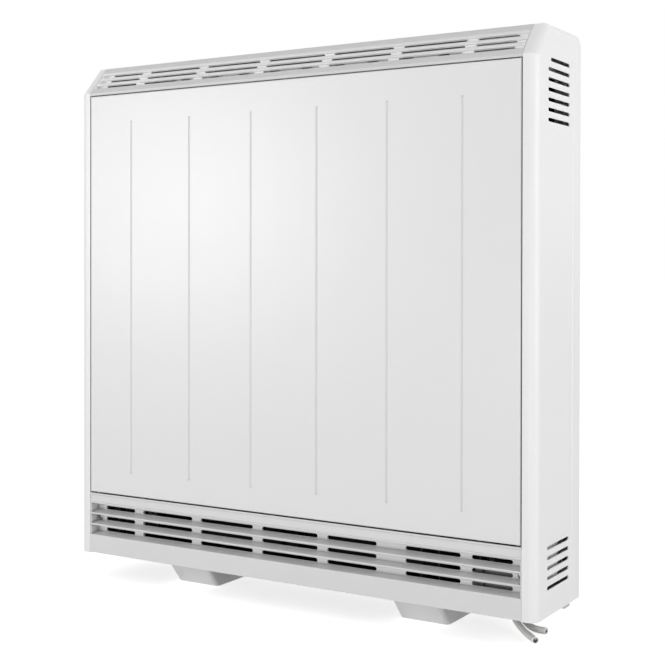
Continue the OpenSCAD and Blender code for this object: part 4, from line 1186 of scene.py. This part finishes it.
@dataclass
class CableTail:
    """A short cable that leaves the outlet and ends in a clean cut.

    The route is in the casing frame.
    """

    name: str
    node: str
    route: Sequence[Point]
    cores: Sequence[Finish] = (
        Finishes.SLEEVE_BROWN, Finishes.SLEEVE_BLUE, Finishes.SLEEVE_PALE
    )
    radius: float = 4.0
    wall: float = 0.9
    recess: float = 1.2
    core_radius: float = 1.05
    core_spacing: float = 1.55
    core_inset: float = 0.25
    core_root: float = 0.1
    core_turn: float = 0.4
    strand_share: float = 0.62
    sides: int = 32
    core_sides: int = 16
    steps: int = 6

    def build(self) -> Object:
        """Returns:
            The sheath.
        """
        path = smooth_path(self.route, self.steps)
        heading = (path[-1] - path[-2]).normalized()
        bore = (self.radius - self.wall) * MM

        def tube(mesh: BMesh) -> None:
            """Sweeps the sheath and turns it in at the cut end.

            Args:
                mesh: the sheath's mesh.
            """
            rings = []
            for i, point in enumerate(path):
                ahead = (path[min(i + 1, len(path) - 1)] - path[max(i - 1, 0)]).normalized()
                rings.append(add_ring(mesh, point, ahead, self.radius * MM, self.sides))
            for depth in (0.0, self.recess * MM):
                rings.append(add_ring(mesh, path[-1] - heading * depth, heading, bore, self.sides))
            join_rings(mesh, rings)
            mesh.faces.new(rings[0][::-1])
            mesh.faces.new(rings[-1]).material_index = 1

        sheath = mesh_piece(self.name, tube, Finishes.CABLE_SHEATH, Finishes.CABLE_FILLER)
        cut = self._add_cores(path[-1], heading)
        settle(sheath, Body.CASING)
        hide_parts(self.node)
        return sheath

    def _add_cores(self, tip: Vector, heading: Vector) -> Object:
        """Adds the cut cores in the sheath's recess.

        Args:
            tip: the middle of the cut.
            heading: the way that it faces.

        Returns:
            The cores, riding on the casing.
        """
        radius = self.core_radius * MM

        def cores(mesh: BMesh) -> None:
            """Adds a sleeve and its copper strand for each core.

            Args:
                mesh: the cores' mesh.
            """
            for k in range(len(self.cores)):
                turn = 2 * math.pi * k / len(self.cores) + self.core_turn
                centre = on_circle(tip, heading, self.core_spacing * MM, turn)
                back = centre - heading * (self.recess + self.core_root) * MM
                face = centre - heading * self.core_inset * MM
                rings = [
                    add_ring(mesh, place, heading, size, self.core_sides)
                    for place, size in (
                        (back, radius), (face, radius), (face, radius * self.strand_share)
                    )
                ]
                join_rings(mesh, rings, k + 1)
                mesh.faces.new(rings[0][::-1]).material_index = k + 1
                mesh.faces.new(rings[-1])

        piece = mesh_piece(self.name + "_cores", cores, Finishes.COPPER, *self.cores)
        return settle(piece, Body.CASING)


SUPPLY_TAIL = CableTail(
    "supply_tail", "supply_cable",
    ((262, 103, -12.9), (270, 94.5, -17.9), (279, 86, -22.5), (290, 74.5, -26.9),
     (302, 62.5, -29.9), (314, 50.5, -30.9), (327, 37, -30.9)),
)
CONTROL_TAIL = CableTail(
    "control_tail", "control_cable",
    ((268, 116, -11.9), (276, 107.5, -18.7), (284.5, 99, -24.9), (294, 90.6, -29.3),
     (303.5, 84, -30.8), (313.5, 79.8, -30.9), (324, 78.2, -30.6)),
)


# ---- Studio ----


@dataclass
class SoftBox:
    """An area lamp that points at a place; metres and watts."""

    name: str
    place: Point
    aim: Point
    size: tuple[float, float]
    power: float

    def build(self) -> None:
        """Makes the lamp."""
        data = bpy.data.lights.new(self.name, "AREA")
        data.shape = "RECTANGLE"
        data.size, data.size_y = self.size
        data.energy = self.power
        lamp = new_object(self.name, data)
        lamp.location = self.place
        aim = Vector(self.aim) - Vector(self.place)
        lamp.rotation_euler = aim.to_track_quat("-Z", "Y").to_euler()


@dataclass
class Studio:
    """Camera, lamps, floor and backdrop; metres, degrees and lens millimetres."""

    camera_place: Point = (0.88138, -1.38369, 0.43822)
    azimuth: float = 31.56
    dip: float = 0.441
    roll: float = 0.079
    lens: float = 67.70
    sensor: float = 36.0
    shift: float = -0.0875
    horizon: float = 0.83
    zenith: float = 0.29
    floor_tone: float = 0.88
    floor_glow: float = 0.7
    floor_span: float = 60.0
    floor_drop: float = 0.0002
    lamps: list[SoftBox] = field(
        default_factory=lambda: [
            SoftBox("right_box", (3.4, -0.3, 0.9), (0.3, 0.0, 0.35), (2.0, 2.0), 40.0),
            SoftBox("front_box", (-2.2, -2.7, 0.7), (-0.1, 0.0, 0.35), (0.9, 0.9), 24.0),
            SoftBox("low_box", (0.4, -2.5, 0.15), (0.0, 0.0, 0.08), (2.4, 0.25), 10.5),
            SoftBox("top_box", (0.0, -0.4, 2.6), (0.0, 0.0, 0.3), (2.4, 1.6), 1.5),
        ]
    )

    def set_camera(self) -> None:
        """Makes the camera at the photograph's viewing angle."""
        data = bpy.data.cameras.new("camera")
        data.lens = self.lens
        data.sensor_width = self.sensor
        data.sensor_fit = "HORIZONTAL"
        data.shift_y = self.shift
        camera = new_object("camera", data)
        camera.location = self.camera_place
        look = Euler((math.radians(90 - self.dip), 0.0, math.radians(self.azimuth))).to_matrix()
        roll = Matrix.Rotation(math.radians(self.roll), 3, "Z")
        camera.rotation_euler = (look @ roll).to_euler()
        bpy.context.scene.camera = camera

    def set_world(self) -> None:
        """Lights the scene, less from above, and shows white to the camera and in reflections."""
        world = bpy.data.worlds.new("studio")
        bpy.context.scene.world = world
        graph = empty_graph(world)
        rays = graph.add("ShaderNodeLightPath").outputs
        direct = graph.math("MAXIMUM", rays["Is Camera Ray"], rays["Is Transmission Ray"])
        seen = graph.math("MAXIMUM", direct, rays["Is Glossy Ray"])
        way = graph.add("ShaderNodeTexCoord").outputs["Generated"]
        height = graph.add("ShaderNodeSeparateXYZ", {0: way}).outputs["Z"]
        light = graph.remap(height, 0.0, 1.0, self.horizon, self.zenith)
        level = graph.math("MAXIMUM", seen, light)
        sky = graph.add("ShaderNodeBackground", {"Color": rgba(grey(1.0)), "Strength": level})
        graph.add("ShaderNodeOutputWorld", {"Surface": sky.outputs[0]})

    def set_floor(self) -> None:
        """Lays the pale floor, which shows white to the camera beyond the shadow."""
        half = self.floor_span / 2

        def plane(mesh: BMesh) -> None:
            """Adds one large square.

            Args:
                mesh: the floor's mesh.
            """
            corners = [(-half, -half), (half, -half), (half, half), (-half, half)]
            mesh.faces.new([mesh.verts.new((x, y, -self.floor_drop)) for x, y in corners])

        floor = mesh_piece("floor", plane)
        made = bpy.data.materials.new("studio_floor")
        graph = empty_graph(made)
        seen = graph.add("ShaderNodeLightPath").outputs["Is Camera Ray"]
        glow = graph.math("MULTIPLY", seen, self.floor_glow)
        matt = graph.add("ShaderNodeBsdfDiffuse", {"Color": rgba(grey(self.floor_tone))})
        veil = graph.add("ShaderNodeEmission", {"Color": rgba(grey(1.0)), "Strength": glow})
        both = graph.add("ShaderNodeAddShader", {0: matt.outputs[0], 1: veil.outputs[0]})
        graph.add("ShaderNodeOutputMaterial", {"Surface": both.outputs[0]})
        floor.data.materials.append(made)

    def build(self) -> None:
        """Makes the whole studio around the camera."""
        self.set_world()
        self.set_floor()
        for lamp in self.lamps:
            lamp.build()
        bpy.context.scene.view_settings.view_transform = "Standard"


def main() -> None:
    """Builds the scene: camera and cords first, then the sub-assemblies and the studio."""
    logging.basicConfig(level=logging.INFO, format="%(name)s: %(message)s")
    studio = Studio()
    studio.set_camera()
    for tail in (SUPPLY_TAIL, CONTROL_TAIL):
        tail.build()
    casing, core, controls, terminals = Casing(), Core(), Controls(), Terminals()
    casing.dress()
    casing.add_welds()
    core.dress()
    controls.dress()
    controls.add_dials()
    terminals.dress()
    terminals.add_screws()
    terminals.add_beads()
    studio.build()


if __name__ == "__main__":
    main()
